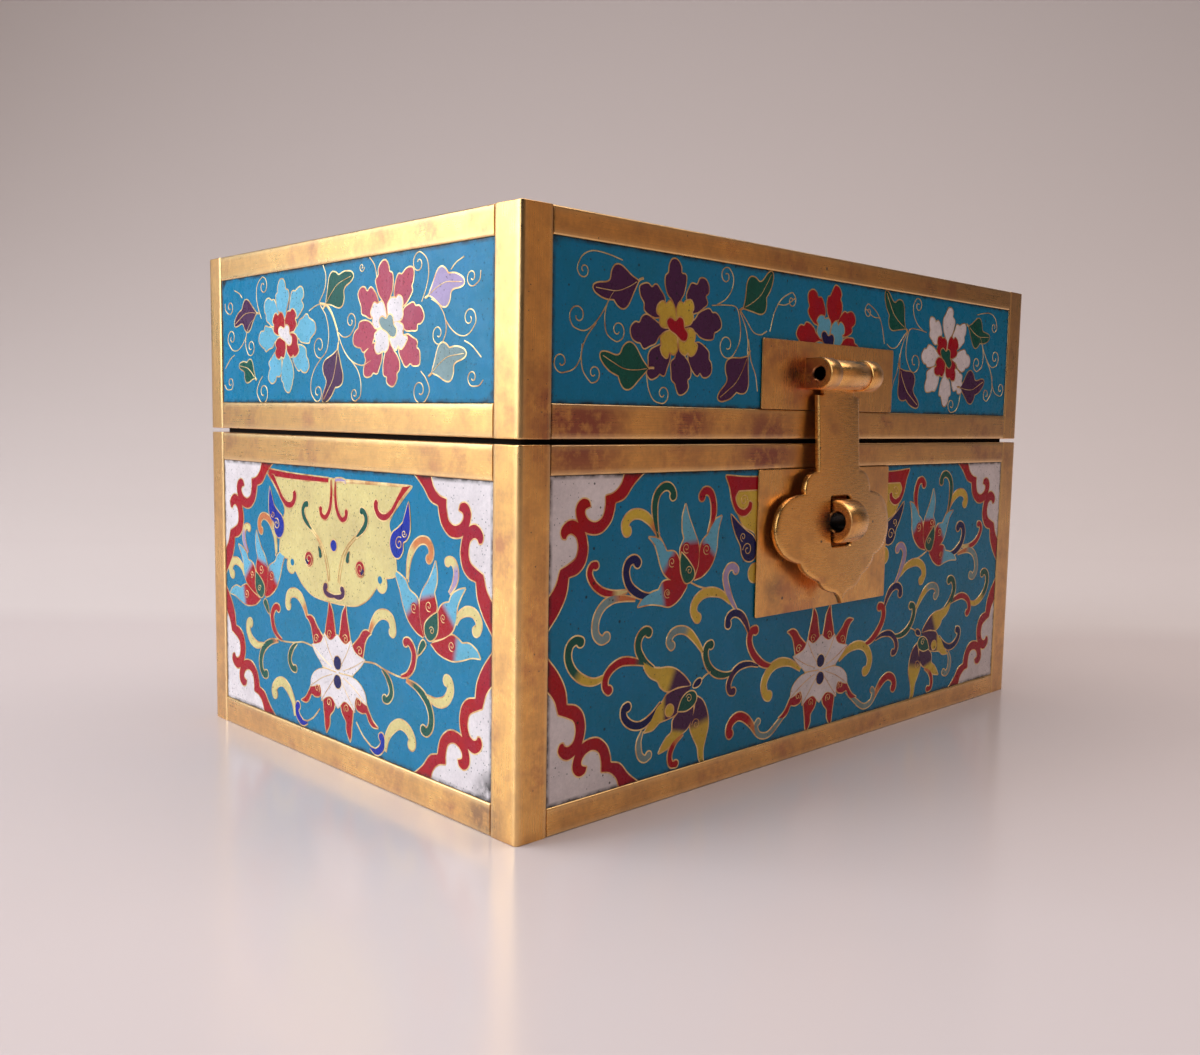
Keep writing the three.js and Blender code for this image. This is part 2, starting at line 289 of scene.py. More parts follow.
def curve(points, at=even):
    """A smooth line through the points: a Catmull-Rom cubic between each two of them. It turns
    sharply at a point that is given twice running."""
    p = np.asarray(points, float)
    t = np.linspace(0, 1, 13)[None, :-1, None]
    lines = []
    for s in np.split(p, np.flatnonzero((p[1:] == p[:-1]).all(1)) + 1):
        s = np.vstack([2 * s[0] - s[1], s, 2 * s[-1] - s[-2]])
        a, b, c, d = (s[i : len(s) - 3 + i, None] for i in range(4))
        line = 2 * b + (c - a) * t + (2 * a - 5 * b + 4 * c - d) * t**2 + (3 * b - a - 3 * c + d) * t**3
        lines += [0.5 * line.reshape(-1, 2), s[-2:-1]]
    return stations(np.vstack(lines), at)


def closed(points):
    """A smooth closed outline through the points, sharp at its first point if that is also its last."""
    p = np.asarray(points, float)
    if (p[0] == p[-1]).all():
        return curve(p)[:-1]
    line = curve(np.vstack([p[-2:], p, p[:2]]))
    away = np.linalg.norm(line - p[0], axis=1)
    half = len(line) // 2
    return line[int(np.argmin(away[:half])) : half + int(np.argmin(away[half:]))]


def disc(x, y, radius):
    """A circle of points."""
    turn = np.linspace(0, 2 * np.pi, 24, endpoint=False)
    return np.stack([x + radius * np.cos(turn), y + radius * np.sin(turn)], 1)


def placed(shape, x, y, turn=0.0, size=1.0):
    """A shape drawn about (0, 0), scaled, turned by degrees clockwise on the face, and moved."""
    c, s = np.cos(np.radians(turn)), np.sin(np.radians(turn))
    return np.asarray(shape, float) * size @ np.array([[c, s], [-s, c]]) + [x, y]


def tangent_side(line):
    """Unit vectors across a line, to one side all along it."""
    return unit(np.gradient(line, axis=0))[:, ::-1] * [-1, 1]


def edges(line, half):
    """The two edges of a band: half its width to either side of its middle line."""
    side = tangent_side(line) * np.reshape(half, (-1, 1))
    return line + side, line - side


def hook(length, width):
    """Stations of a tendril, closer together round its knob, and half its width at each: it swells
    from a point at its root to its full width and ends in a round knob that is a little wider."""
    knob = KNOB * width
    knob_at = length - knob * (1 - np.cos(np.radians(np.linspace(90, 0, 8))))
    at = np.r_[np.linspace(0, length - knob, max(6, int(length / STEP)))[:-1], knob_at]
    left = length - at
    half = width / 2 * np.minimum(1, 0.2 + at / (0.45 * length)) ** 0.7
    disc_half = knob * np.sqrt(np.clip(1 - (1 - left / knob) ** 2, 0, 1))
    return at, np.where(left < knob, disc_half, np.maximum(half, disc_half))


def ribbon(length, width):
    """Stations of an even ribbon and half its width at each."""
    at = even(length)
    return at, np.full(len(at), width / 2)


class Design:
    """What is laid on one panel. Cells and wires are kept as (one edge, other edge) for bands or as
    (outline, middle) for discs, each with its level. A level's rims lie under its own cells."""

    def __init__(self, palette, mirror=None):
        self.palette, self.mirror = palette, mirror
        self.level = 0
        self.cells, self.wires = [], []

    def sides(self, points, once):
        """The points, and their mirror image where the panel has a middle line."""
        p = np.asarray(points, float).reshape(-1, 2)
        return [p] if once or self.mirror is None else [p, p * [-1, 1] + [2 * self.mirror, 0]]

    def strip(self, a, b, colour, tip=None, turn=0.5, rim=RIM):
        """A cell between two edges, which may pass into a tip colour at a share of its length."""
        share = np.clip((np.linspace(0, 1, len(a)) - turn) / 0.1 + 0.5, 0, 1)[:, None]
        first, last = np.array(self.palette[colour]), np.array(self.palette[tip or colour])
        self.cells.append((a, b, self.level, first * (1 - share) + last * share))
        if rim:
            out = np.sign(((a - b) * tangent_side((a + b) / 2)).sum()) * rim
            self.wires.append((a + tangent_side(a) * out, b - tangent_side(b) * out, self.level, True))

    def band(self, points, width, colour, tip=None, form=hook, once=False, rim=RIM, turn=0.5):
        """A cell that follows a line."""
        for p in self.sides(points, once):
            fine = curve(p, lambda length: np.linspace(0, length, 400))
            length = np.linalg.norm(np.diff(fine, axis=0), axis=1).sum()
            at, half = form(length, width)
            self.strip(*edges(stations(fine, lambda _: at), half), colour, tip, turn, rim)

    def between(self, one, other, colour, tip=None, once=False, rim=RIM, turn=0.5):
        """A cell between two edges that are given as points from its base to its tip."""
        count = max(len(curve(one)), len(curve(other)))
        for a, b in zip(self.sides(one, once), self.sides(other, once)):
            a, b = (curve(e, lambda length: np.linspace(0, length, count)) for e in (a, b))
            self.strip(a, b, colour, tip, turn, rim)

    def cell(self, shape, middle, colour, once=False, rim=RIM):
        """A cell whose whole outline can be seen from its middle."""
        for p, c in zip(self.sides(shape, once), self.sides([middle], once)):
            self.cells.append((p, c[0], self.level, np.array([self.palette[colour]])))
            if rim:
                self.wires.append((p + normals(p) * rim, c[0], self.level, True))

    def dot(self, x, y, radius, colour, once=False, rim=RIM):
        """A round cell."""
        self.cell(disc(x, y, radius), (x, y), colour, once, rim)

    def wire(self, points, width=0.24, once=False):
        """A gilt wire that bounds nothing."""
        for p in self.sides(points, once):
            line = curve(p)
            self.wires.append((*edges(line, width / 2), self.level, False))

    def tendril(self, points, middle, turns=1.2, way=1, width=0.22, once=False):
        """A gilt wire along some points whose end winds in round a middle."""
        start = np.asarray(points[-1], float) - middle
        t = np.linspace(0, 1, 16)[1:]
        turn = np.arctan2(start[1], start[0]) + way * 2 * np.pi * turns * t
        reach = np.hypot(*start) * (1 - 0.78 * t)
        coil = np.stack([reach * np.cos(turn), reach * np.sin(turn)], 1) + middle
        self.wire(np.vstack([points, coil]), width, once)

    def curl(self, x, y, radius, start=0.0, way=1, once=False):
        """A small coil of wire."""
        first = (x + radius * np.cos(np.radians(start)), y + radius * np.sin(np.radians(start)))
        self.tendril([first], (x, y), 1.3, way, 0.2, once)


# ---- Motifs -------------------------------------------------------------------------------------
def spandrels(d, left, right, top, bottom):
    """White corner cells, each edged by two red scrolls that flare at the border and curl in."""
    white = closed([(0, 0), (15, 0), (15, 0), (13.6, 2.2), (11, 3.3), (10.6, 5.2), (9.6, 6.6),
                    (8, 7), (6.4, 6.6), (5.6, 7), (6, 9), (5.6, 10.8), (4.4, 11.9), (2.8, 12.4),
                    (2.4, 14), (1.4, 16.2), (0, 17.6), (0, 17.6), (0, 0)])
    scrolls = [
        ([(17.4, -0.4), (15.1, 1.4), (13.4, 3.2), (11.6, 3.8), (11.6, 3.8), (11.4, 4.9),
          (10.8, 6.3), (9.4, 7.5), (8.0, 7.8), (6.4, 7.5), (5.3, 6.7), (4.7, 5.6),
          (4.5, 4.4), (4.9, 3.5), (5.8, 3.0), (6.8, 3.3), (7.1, 4.1)],
         [(13.4, -0.4), (12.7, 1.3), (11.4, 2.4), (9.8, 2.8), (9.8, 2.8), (9.8, 4.2),
          (9.3, 5.6), (8.1, 6.2), (6.9, 5.9), (6.2, 5.2), (6.2, 4.5), (7.1, 4.1)]),
        ([(-0.4, 20.0), (1.7, 17.6), (3.0, 15.3), (3.4, 13.1), (3.4, 13.1), (5.0, 12.7),
          (6.2, 11.6), (6.7, 9.9), (6.5, 8.3), (5.9, 6.9), (4.8, 6.0), (3.6, 5.7),
          (2.5, 6.2), (1.9, 7.1), (2.2, 8.0), (2.8, 8.1)],
         [(-0.4, 15.8), (1.1, 14.1), (1.9, 12.0), (1.9, 12.0), (3.4, 11.4), (4.6, 10.7),
          (5.0, 9.4), (4.7, 8.1), (3.9, 7.5), (3.2, 7.6), (2.8, 8.1)]),
    ]
    for x, dx in ((left, 1), (right, -1)):
        for y, dy in ((top, 1), (bottom, -1)):
            d.level = 0
            d.cell(white * [dx, dy] + [x, y], (x + 3 * dx, y + 3 * dy), "white", once=True, rim=0)
            d.level = 1
            for outer, inner in scrolls:
                d.between(*(np.array(e) * [dx, dy] + [x, y] for e in (outer, inner)), "red", once=True)


def lotus(d, x, y, size=1.0):
    """A white lotus seen from its side above and mirrored below, with flame-shaped red petal tips and
    a dark dot in each half."""
    flames = [
        ([(0.2, -4.2), (0.9, -7.2), (1.4, -9.2), (2.4, -10.6)],
         [(4.0, -3.6), (3.3, -6.6), (2.7, -8.7), (2.4, -10.6)]),
        ([(4.0, -4.6), (5.9, -6.1), (6.9, -7.2), (8.0, -7.6), (9.3, -7.3)],
         [(6.8, -2.6), (7.3, -4.5), (7.7, -5.8), (8.4, -6.7), (9.3, -7.3)]),
        ([(7.4, 2.6), (8.5, 4.3), (9.6, 5.6), (11.0, 6.4)],
         [(4.6, 3.0), (5.2, 4.6), (6.6, 5.0), (7.8, 4.8), (8.6, 5.9), (9.6, 6.5), (11.0, 6.4)]),
        ([(0.5, 3.4), (1.1, 5.9), (2.3, 7.2), (2.4, 8.6), (3.4, 10.1)],
         [(4.5, 3.2), (4.2, 5.8), (3.9, 7.6), (3.7, 9.2), (3.4, 10.1)]),
    ]
    above = [(0, 0), (3.6, 0), (5.2, -1.0), (6.4, -1.9), (7.6, -3.1), (7.6, -3.1), (6.0, -3.4), (4.6, -4.0),
             (3.8, -5.4), (3.8, -5.4), (2.4, -4.6), (1.2, -4.9), (0, -5.8), (0, -5.8), (0, 0)]
    below = [(0, 0), (3.6, 0.1), (6.0, 0.7), (7.6, 2.0), (8.0, 3.6), (8.0, 3.6),
             (6.4, 3.2), (5.4, 2.8), (4.8, 3.8), (4.8, 5.4), (4.8, 5.4), (3.4, 4.5),
             (1.8, 4.2), (0.5, 5.2), (0, 5.6), (0, 5.6), (0, 0)]
    for way in (1, -1):

        def at(points):
            return placed(np.array(points) * [way, 1], x, y, size=size)

        d.level = 1
        for one, other in flames:
            d.between(at(one), at(other), "red", once=True)
        d.level = 2
        for shape, middle in ((above, (1.6, -1.6)), (below, (1.6, 1.6))):
            d.cell(closed(at(shape)), at([middle])[0], "white", once=True, rim=0.12)
        d.level = 3
        for vein in ([(1.0, -1.2), (2.6, -3.2), (3.8, -5.2)], [(1.6, -0.5), (4.4, -1.5), (7.2, -2.9)],
                     [(1.0, 1.2), (2.9, 3.2), (4.8, 5.2)], [(1.6, 0.6), (4.6, 1.7), (7.8, 3.4)]):
            d.wire(at(vein), 0.18, once=True)
        for cx, cy, start in ((2.3, -5.4, 200), (6.2, -4.2, 200), (6.0, 3.6, 140), (2.5, 5.2, 140)):
            d.curl(*at([(cx, cy)])[0], 0.75 * size, start if way > 0 else 180 - start, way, once=True)
        d.wire(at([(0.4, 0.1), (2.4, 0.0), (4.4, -0.1)]), once=True)
    for dy in (-1.4, 1.5):
        d.dot(x, y + dy * size, 1.05 * size, "navy", once=True, rim=0.12)


PETAL = [(0.16, 0), (0.4, -0.09), (0.5, -0.175), (0.63, -0.215), (0.75, -0.225),
         (0.81, -0.15), (0.9, -0.13), (0.99, -0.05), (0.99, 0.06), (0.9, 0.13),
         (0.81, 0.14), (0.76, 0.22), (0.64, 0.215), (0.5, 0.17), (0.4, 0.09)]
INNER = [(0.06, 0), (0.16, -0.13), (0.26, -0.2), (0.37, -0.2), (0.42, -0.11), (0.5, -0.1),
         (0.54, 0.0), (0.5, 0.1), (0.42, 0.11), (0.38, 0.2), (0.26, 0.2), (0.16, 0.13)]
HEART = [(-0.25, -0.06), (-0.18, -0.13), (-0.06, -0.1), (0.02, -0.17), (0.11, -0.14), (0.14, -0.03),
         (0.23, 0.05), (0.2, 0.15), (0.1, 0.16), (-0.03, 0.09), (-0.17, 0.04)]


def flower(d, x, y, radius, outer, inner, heart, turn=-7.0):
    """A round flower: eight lobed petals with a knob at the end, each a little different, four
    smaller ones over them on the diagonals, and a three-lobed heart."""
    vary = np.random.default_rng(int(x * 10))
    rounds = (1, 8, PETAL, 0.6, outer, 0.0), (2, 4, INNER, 0.28, inner, 45.0)
    for level, count, shape, reach, tint, start in rounds:
        d.level = level
        for a in np.arange(count) * 360 / count + start + turn:
            grown = radius * vary.uniform(0.94, 1.05)
            p = np.array(shape) + vary.normal(0, 0.01, (len(shape), 2))
            lean = a + vary.uniform(-4, 4)
            middle = placed([(reach, 0)], x, y, lean, grown)[0]
            d.cell(closed(placed(p, x, y, lean, grown)), middle, tint, once=True)
    d.level = 3
    d.cell(closed(placed(HEART, x, y, turn + 12, radius)), (x, y), heart, once=True)


LEAF = [(0, 0), (0.15, -0.17), (0.3, -0.34), (0.42, -0.38), (0.52, -0.32), (0.59, -0.22), (0.59, -0.22),
        (0.78, -0.18), (0.95, -0.08), (1.0, 0), (0.98, 0.04), (0.88, 0.06), (0.7, 0.05), (0.61, 0.09),
        (0.56, 0.21), (0.46, 0.29), (0.33, 0.26), (0.15, 0.1), (0, 0)]


def leaf(d, stem, tip, tint, flip=1):
    """A lobed leaf with a pointed tip, a stalk and a wire midrib."""
    stem, tip = np.array(stem, float), np.array(tip, float)
    size, turn = float(np.hypot(*(tip - stem))), float(np.degrees(np.arctan2(*(tip - stem)[::-1])))

    def at(points):
        return placed(np.array(points) * [1, flip], *stem, turn, size)

    d.level = 1
    d.cell(closed(at(LEAF)), at([(0.42, -0.03)])[0], tint, once=True)
    d.level = 2
    d.wire(at([(0.04, -0.01), (0.25, -0.07), (0.5, -0.1), (0.75, -0.05), (0.95, 0.0)]), 0.18, once=True)
    d.wire(at([(0.0, 0.0), (-0.05, 0.02), (-0.12, 0.03)]), 0.4, once=True)


def petals(d, shapes, base, tip):
    """Pointed petals that turn from a base colour into a tip colour, each with a coil of wire there."""
    d.level = 1
    for one, other, turn, knob in shapes:
        d.between(one, other, base, tip, turn=turn)
        if knob:
            d.level = 2
            d.dot(*knob, base, rim=0)
            d.curl(*knob, 60)
            d.level = 1


# ---- The panels' designs --------------------------------------------------------------------------
def long_body(palette, beast=True):
    """The body's front: spandrels, a lotus low in the middle, two blooms a side and curling tendrils."""
    d = Design(palette, mirror=HALF_LENGTH)
    spandrels(d, left=5.2, right=124.8, top=3.9, bottom=46.8)
    d.level = 0
    for v in ([(32.4, 19.8), (34.4, 20.6), (37.0, 21.2)],
              [(42.4, 24.6), (44.8, 26.2), (46.2, 28.8), (46.2, 31.0)],
              [(46.4, 33.6), (50.6, 34.4), (54.0, 34.3)], [(35.0, 29.9), (35.6, 31.6), (36.8, 33.2)],
              [(48.0, 44.2), (49.6, 45.2), (52.6, 45.4)], [(25.0, 12.0), (26.0, 13.2), (27.0, 14.6)],
              [(36.3, 12.0), (35.9, 12.9), (35.4, 13.6)], [(23.4, 30.2), (24.6, 31.0), (26.2, 31.3)]):
        d.wire(v, 0.34)
    d.level = 1
    for root, tint, width, turn, line in (
        ("salmon", "yellow", 1.25, 0.2,
         [(25.4, 12.6), (24.0, 10.8), (22.2, 9.6), (20.4, 9.4), (19.1, 10.1), (18.8, 11.2), (19.7, 12.1)]),
        ("green", "green", 1.1, 0.5,
         [(25.3, 12.9), (24.7, 10.6), (24.5, 8.4), (25.0, 6.8),
          (26.2, 5.9), (27.4, 5.9), (28.2, 6.7), (28.1, 7.8)]),
        ("salmon", "red", 1.15, 0.15,
         [(36.0, 12.9), (36.9, 10.8), (37.0, 8.8), (36.3, 7.1), (35.1, 6.7), (34.4, 7.4), (34.6, 8.1)]),
        ("cream", "red", 0.95, 0.2,
         [(19.4, 19.8), (17.0, 19.9), (14.9, 19.5), (13.2, 18.4), (12.3, 16.9), (12.8, 15.8), (13.9, 16.0)]),
        ("navy", "navy", 1.2, 0.5,
         [(25.6, 20.5), (23.6, 20.9), (21.6, 20.4), (19.8, 19.1),
          (19.1, 17.3), (19.6, 15.9), (20.9, 15.6), (21.6, 16.7)]),
        ("salmon", "grey", 1.1, 0.25,
         [(21.0, 21.1), (18.6, 20.7), (16.4, 20.7), (14.6, 21.6),
          (13.6, 23.2), (13.6, 25.0), (14.8, 26.0), (16.1, 25.3)]),
        ("yellow", "yellow", 1.25, 0.5,
         [(41.4, 23.6), (39.4, 22.2), (37.2, 21.6), (35.2, 21.7),
          (33.6, 22.6), (33.1, 23.9), (33.8, 25.0), (34.7, 25.1)]),
        ("lilac", "lilac", 1.05, 0.5,
         [(42.9, 24.9), (41.4, 23.0), (40.4, 21.0), (40.1, 19.4), (40.9, 18.3), (42.1, 18.3), (42.8, 19.3)]),
        ("yellow", "green", 1.15, 0.4,
         [(16.2, 30.8), (13.6, 31.4), (11.4, 30.8), (9.6, 29.4),
          (8.7, 27.6), (9.0, 26.0), (10.2, 25.4), (11.4, 26.1)]),
        ("green", "red", 1.1, 0.18,
         [(23.8, 30.5), (21.4, 29.8), (18.8, 29.4), (16.8, 30.0), (15.6, 31.2), (15.6, 32.6), (16.8, 33.2)]),
        ("green", "green", 1.15, 0.5,
         [(25.0, 31.2), (23.2, 30.1), (22.0, 28.7), (21.7, 27.3), (22.3, 26.1), (23.4, 25.7), (24.2, 26.5)]),
        ("yellow", "grey", 1.05, 0.4,
         [(35.4, 30.3), (33.8, 28.4), (32.0, 26.9), (30.2, 26.4), (28.6, 26.8), (28.0, 28.0), (29.1, 28.8)]),
        ("green", "green", 1.1, 0.5,
         [(43.0, 34.3), (40.6, 34.5), (38.4, 33.9), (36.7, 32.5), (36.0, 30.8), (36.4, 29.5), (37.8, 29.5)]),
        ("navy", "purple", 1.0, 0.5,
         [(48.6, 34.2), (46.4, 33.6), (44.0, 33.7), (42.3, 34.7), (41.5, 36.2), (42.0, 37.3), (43.2, 37.2)]),
        ("purple", "navy", 1.15, 0.4,
         [(46.2, 29.0), (45.3, 27.2), (44.0, 25.8), (42.3, 25.3), (41.0, 26.0), (41.1, 27.5)]),
        ("red", "red", 1.2, 0.5,
         [(52.6, 34.9), (50.0, 34.2), (48.0, 32.9), (46.6, 31.2), (46.2, 29.6), (46.9, 28.5), (48.3, 28.7)]),
        ("yellow", "yellow", 1.3, 0.5,
         [(59.6, 36.4), (56.8, 34.9), (53.8, 34.5), (51.4, 35.4), (50.1, 37.4), (50.8, 39.3), (52.2, 39.3)]),
        ("salmon", "red", 1.3, 0.25,
         [(48.8, 45.2), (47.2, 43.2), (45.6, 41.9), (43.9, 41.4), (42.3, 42.1), (41.8, 43.4), (42.7, 44.2)]),
        ("grey", "grey", 0.85, 0.5,
         [(57.0, 42.2), (54.4, 44.0), (51.6, 45.6), (49.2, 45.2), (48.4, 43.6), (49.4, 42.9)]),
        ("navy", "navy", 1.1, 0.5,
         [(26.6, 36.4), (24.8, 38.0), (22.8, 38.9), (20.8, 38.6), (19.3, 37.4), (19.2, 36.0), (20.5, 35.9)]),
        ("grey", "grey", 0.95, 0.5, [(22.9, 39.8), (22.2, 41.4), (22.5, 43.2), (23.6, 43.9), (24.7, 43.2)]),
        ("salmon", "red", 0.9, 0.25, [(31.4, 41.8), (29.6, 42.8), (28.7, 44.3), (29.0, 45.8), (30.5, 45.9)]),
    ):
        d.band(line, width, root, tip=tint, turn=turn)
    petals(d, [
        ([(31.6, 19.9), (28.6, 19.1), (26.6, 19.1), (25.6, 20.2),
          (25.6, 20.2), (24.0, 20.5), (22.4, 21.2), (21.5, 22.2)],
         [(31.4, 20.4), (30.0, 21.9), (28.0, 22.8), (26.0, 22.4), (24.0, 22.1), (21.5, 22.2)], 0.5,
         (27.4, 20.8, 0.75)),
        ([(30.9, 19.8), (28.6, 19.3), (26.8, 18.2), (25.9, 16.8), (25.3, 15.2), (24.6, 13.8), (23.4, 12.7)],
         [(30.8, 19.4), (30.0, 18.2), (29.8, 16.4), (28.8, 15.1), (27.1, 14.9),
          (27.1, 14.9), (26.2, 13.6), (25.0, 12.9), (23.4, 12.7)],
         0.45, (28.2, 16.5, 0.75)),
        ([(33.2, 19.2), (33.9, 17.4), (34.1, 15.4), (34.7, 13.9), (35.8, 13.1),
          (35.8, 13.1), (36.6, 11.9), (37.6, 10.9), (38.9, 10.5)],
         [(33.0, 19.5), (35.0, 19.0), (36.8, 17.6), (37.8, 15.6), (38.0, 13.6), (38.3, 12.0), (38.9, 10.5)],
         0.5, (35.6, 15.2, 0.8)),
        ([(31.8, 18.4), (30.4, 16.8), (29.9, 15.0), (30.7, 13.3),
          (30.7, 13.3), (30.3, 12.0), (30.3, 10.2), (30.9, 8.4)],
         [(33.1, 18.9), (33.9, 17.2), (33.9, 14.6), (32.8, 12.4), (31.7, 10.4), (30.9, 8.4)], 0.46,
         (31.2, 14.7, 0.8)),
    ], "red", "pale_blue")
    petals(d, [
        ([(32.8, 34.6), (31.4, 33.2), (29.6, 32.0), (28.0, 31.5), (26.2, 31.4), (24.6, 31.0), (22.8, 30.0)],
         [(32.6, 34.9), (30.2, 34.7), (28.0, 35.0), (26.5, 34.2),
          (25.8, 33.2), (24.3, 32.4), (23.2, 31.2), (22.8, 30.0)], 0.38, None),
        ([(33.0, 34.9), (30.2, 34.9), (28.0, 35.3), (26.9, 36.3), (25.8, 36.9), (24.9, 38.2), (23.3, 40.1)],
         [(31.0, 37.6), (29.8, 38.6), (28.0, 39.0), (26.4, 39.2), (25.0, 40.0), (23.3, 40.1)], 0.5, None),
        ([(30.6, 38.2), (29.2, 39.4), (29.0, 41.0), (27.8, 41.8), (26.9, 42.8), (26.3, 43.7)],
         [(33.6, 37.4), (33.5, 39.4), (32.5, 41.0), (31.0, 41.8), (29.6, 42.4), (28.2, 43.3), (26.3, 43.7)],
         0.45, None),
        ([(34.0, 36.6), (33.8, 38.6), (33.1, 40.2), (33.0, 41.4),
          (33.8, 42.9), (34.7, 44.4), (35.0, 46.0), (35.6, 47.2)],
         [(34.2, 36.6), (35.7, 37.6), (36.7, 39.4), (37.0, 41.4),
          (36.5, 43.2), (36.0, 44.8), (36.0, 46.2), (36.2, 47.2)], 0.42, None),
    ], "purple", "yellow")
    d.level = 2
    d.cell(closed([(30.2, 15.3), (31.6, 16.5), (32.9, 18.0), (32.9, 19.1), (32.0, 19.7),
                   (31.0, 19.6), (30.3, 18.4), (30.0, 16.8), (30.2, 15.3)]), (31.3, 17.9), "green")
    d.cell(closed([(30.2, 38.2), (31.0, 36.6), (32.3, 35.8), (33.6, 35.9),
                   (34.2, 36.8), (33.6, 37.8), (32.0, 38.4), (30.2, 38.2)]), (32.3, 37.2), "green")
    d.cell(closed([(33.4, 35.2), (33.9, 34.4), (34.9, 34.1), (35.2, 34.6), (34.5, 35.2)]), (34.3, 34.7),
           "navy")
    d.dot(28.4, 37.8, 0.85, "yellow", rim=0.16)
    d.wire([(35.2, 34.4), (36.0, 33.9), (37.2, 33.5)], 0.3)
    for x, y, radius, start in ((31.9, 18.0, 0.7, 180), (32.5, 36.7, 0.7, 200), (34.2, 40.8, 0.9, 180),
                                (27.5, 20.8, 0.4, 0)):
        d.curl(x, y, radius, start)
    if beast:
        d.level = 1
        d.cell(closed([(42.0, 9.4), (44.0, 12.2), (47.0, 13.8), (47.4, 18), (50, 22),
                       (58, 24.2), (65, 24.6), (65, 24.6), (65, 6.2), (65, 6.2),
                       (42.0, 6.6), (42.0, 6.6), (42.0, 9.4)]), (56.0, 12.0), "yellow")
        d.dot(46.9, 19.6, 1.4, "yellow")
        d.level = 2
        d.between([(65.0, 4.8), (47.0, 5.0), (39.5, 4.6), (39.5, 4.6), (40.5, 6.4),
                   (41.2, 8.6), (42.4, 10.3), (44.1, 10.8), (45.6, 10.0), (45.9, 8.9)],
                  [(65.0, 6.8), (50.0, 6.9), (42.6, 6.9), (42.6, 6.9), (41.9, 8.0),
                   (42.6, 9.3), (43.9, 9.8), (44.9, 9.3), (45.2, 8.6), (45.9, 8.9)],
                  "red")
        d.cell(closed([(41.0, 10.4), (42.8, 11.8), (44.6, 13.0), (46.4, 14.0), (47.2, 15.4),
                       (47.0, 17.0), (45.9, 17.7), (44.5, 17.4), (43.7, 16.4), (43.4, 15.2),
                       (42.3, 13.6), (41.5, 12.0), (41.0, 10.4)]), (44.6, 15.0), "navy")
        d.level = 3
        d.curl(43.9, 8.4, 0.9, 0, -1)
        d.curl(43.9, 13.9, 0.7, 100)
        d.curl(45.0, 15.9, 1.1, 180)
    else:
        flower(d, 65.0, 15.0, 8.6, "rose", "white", "green")
    lotus(d, 65.1, 37.1)
    return d


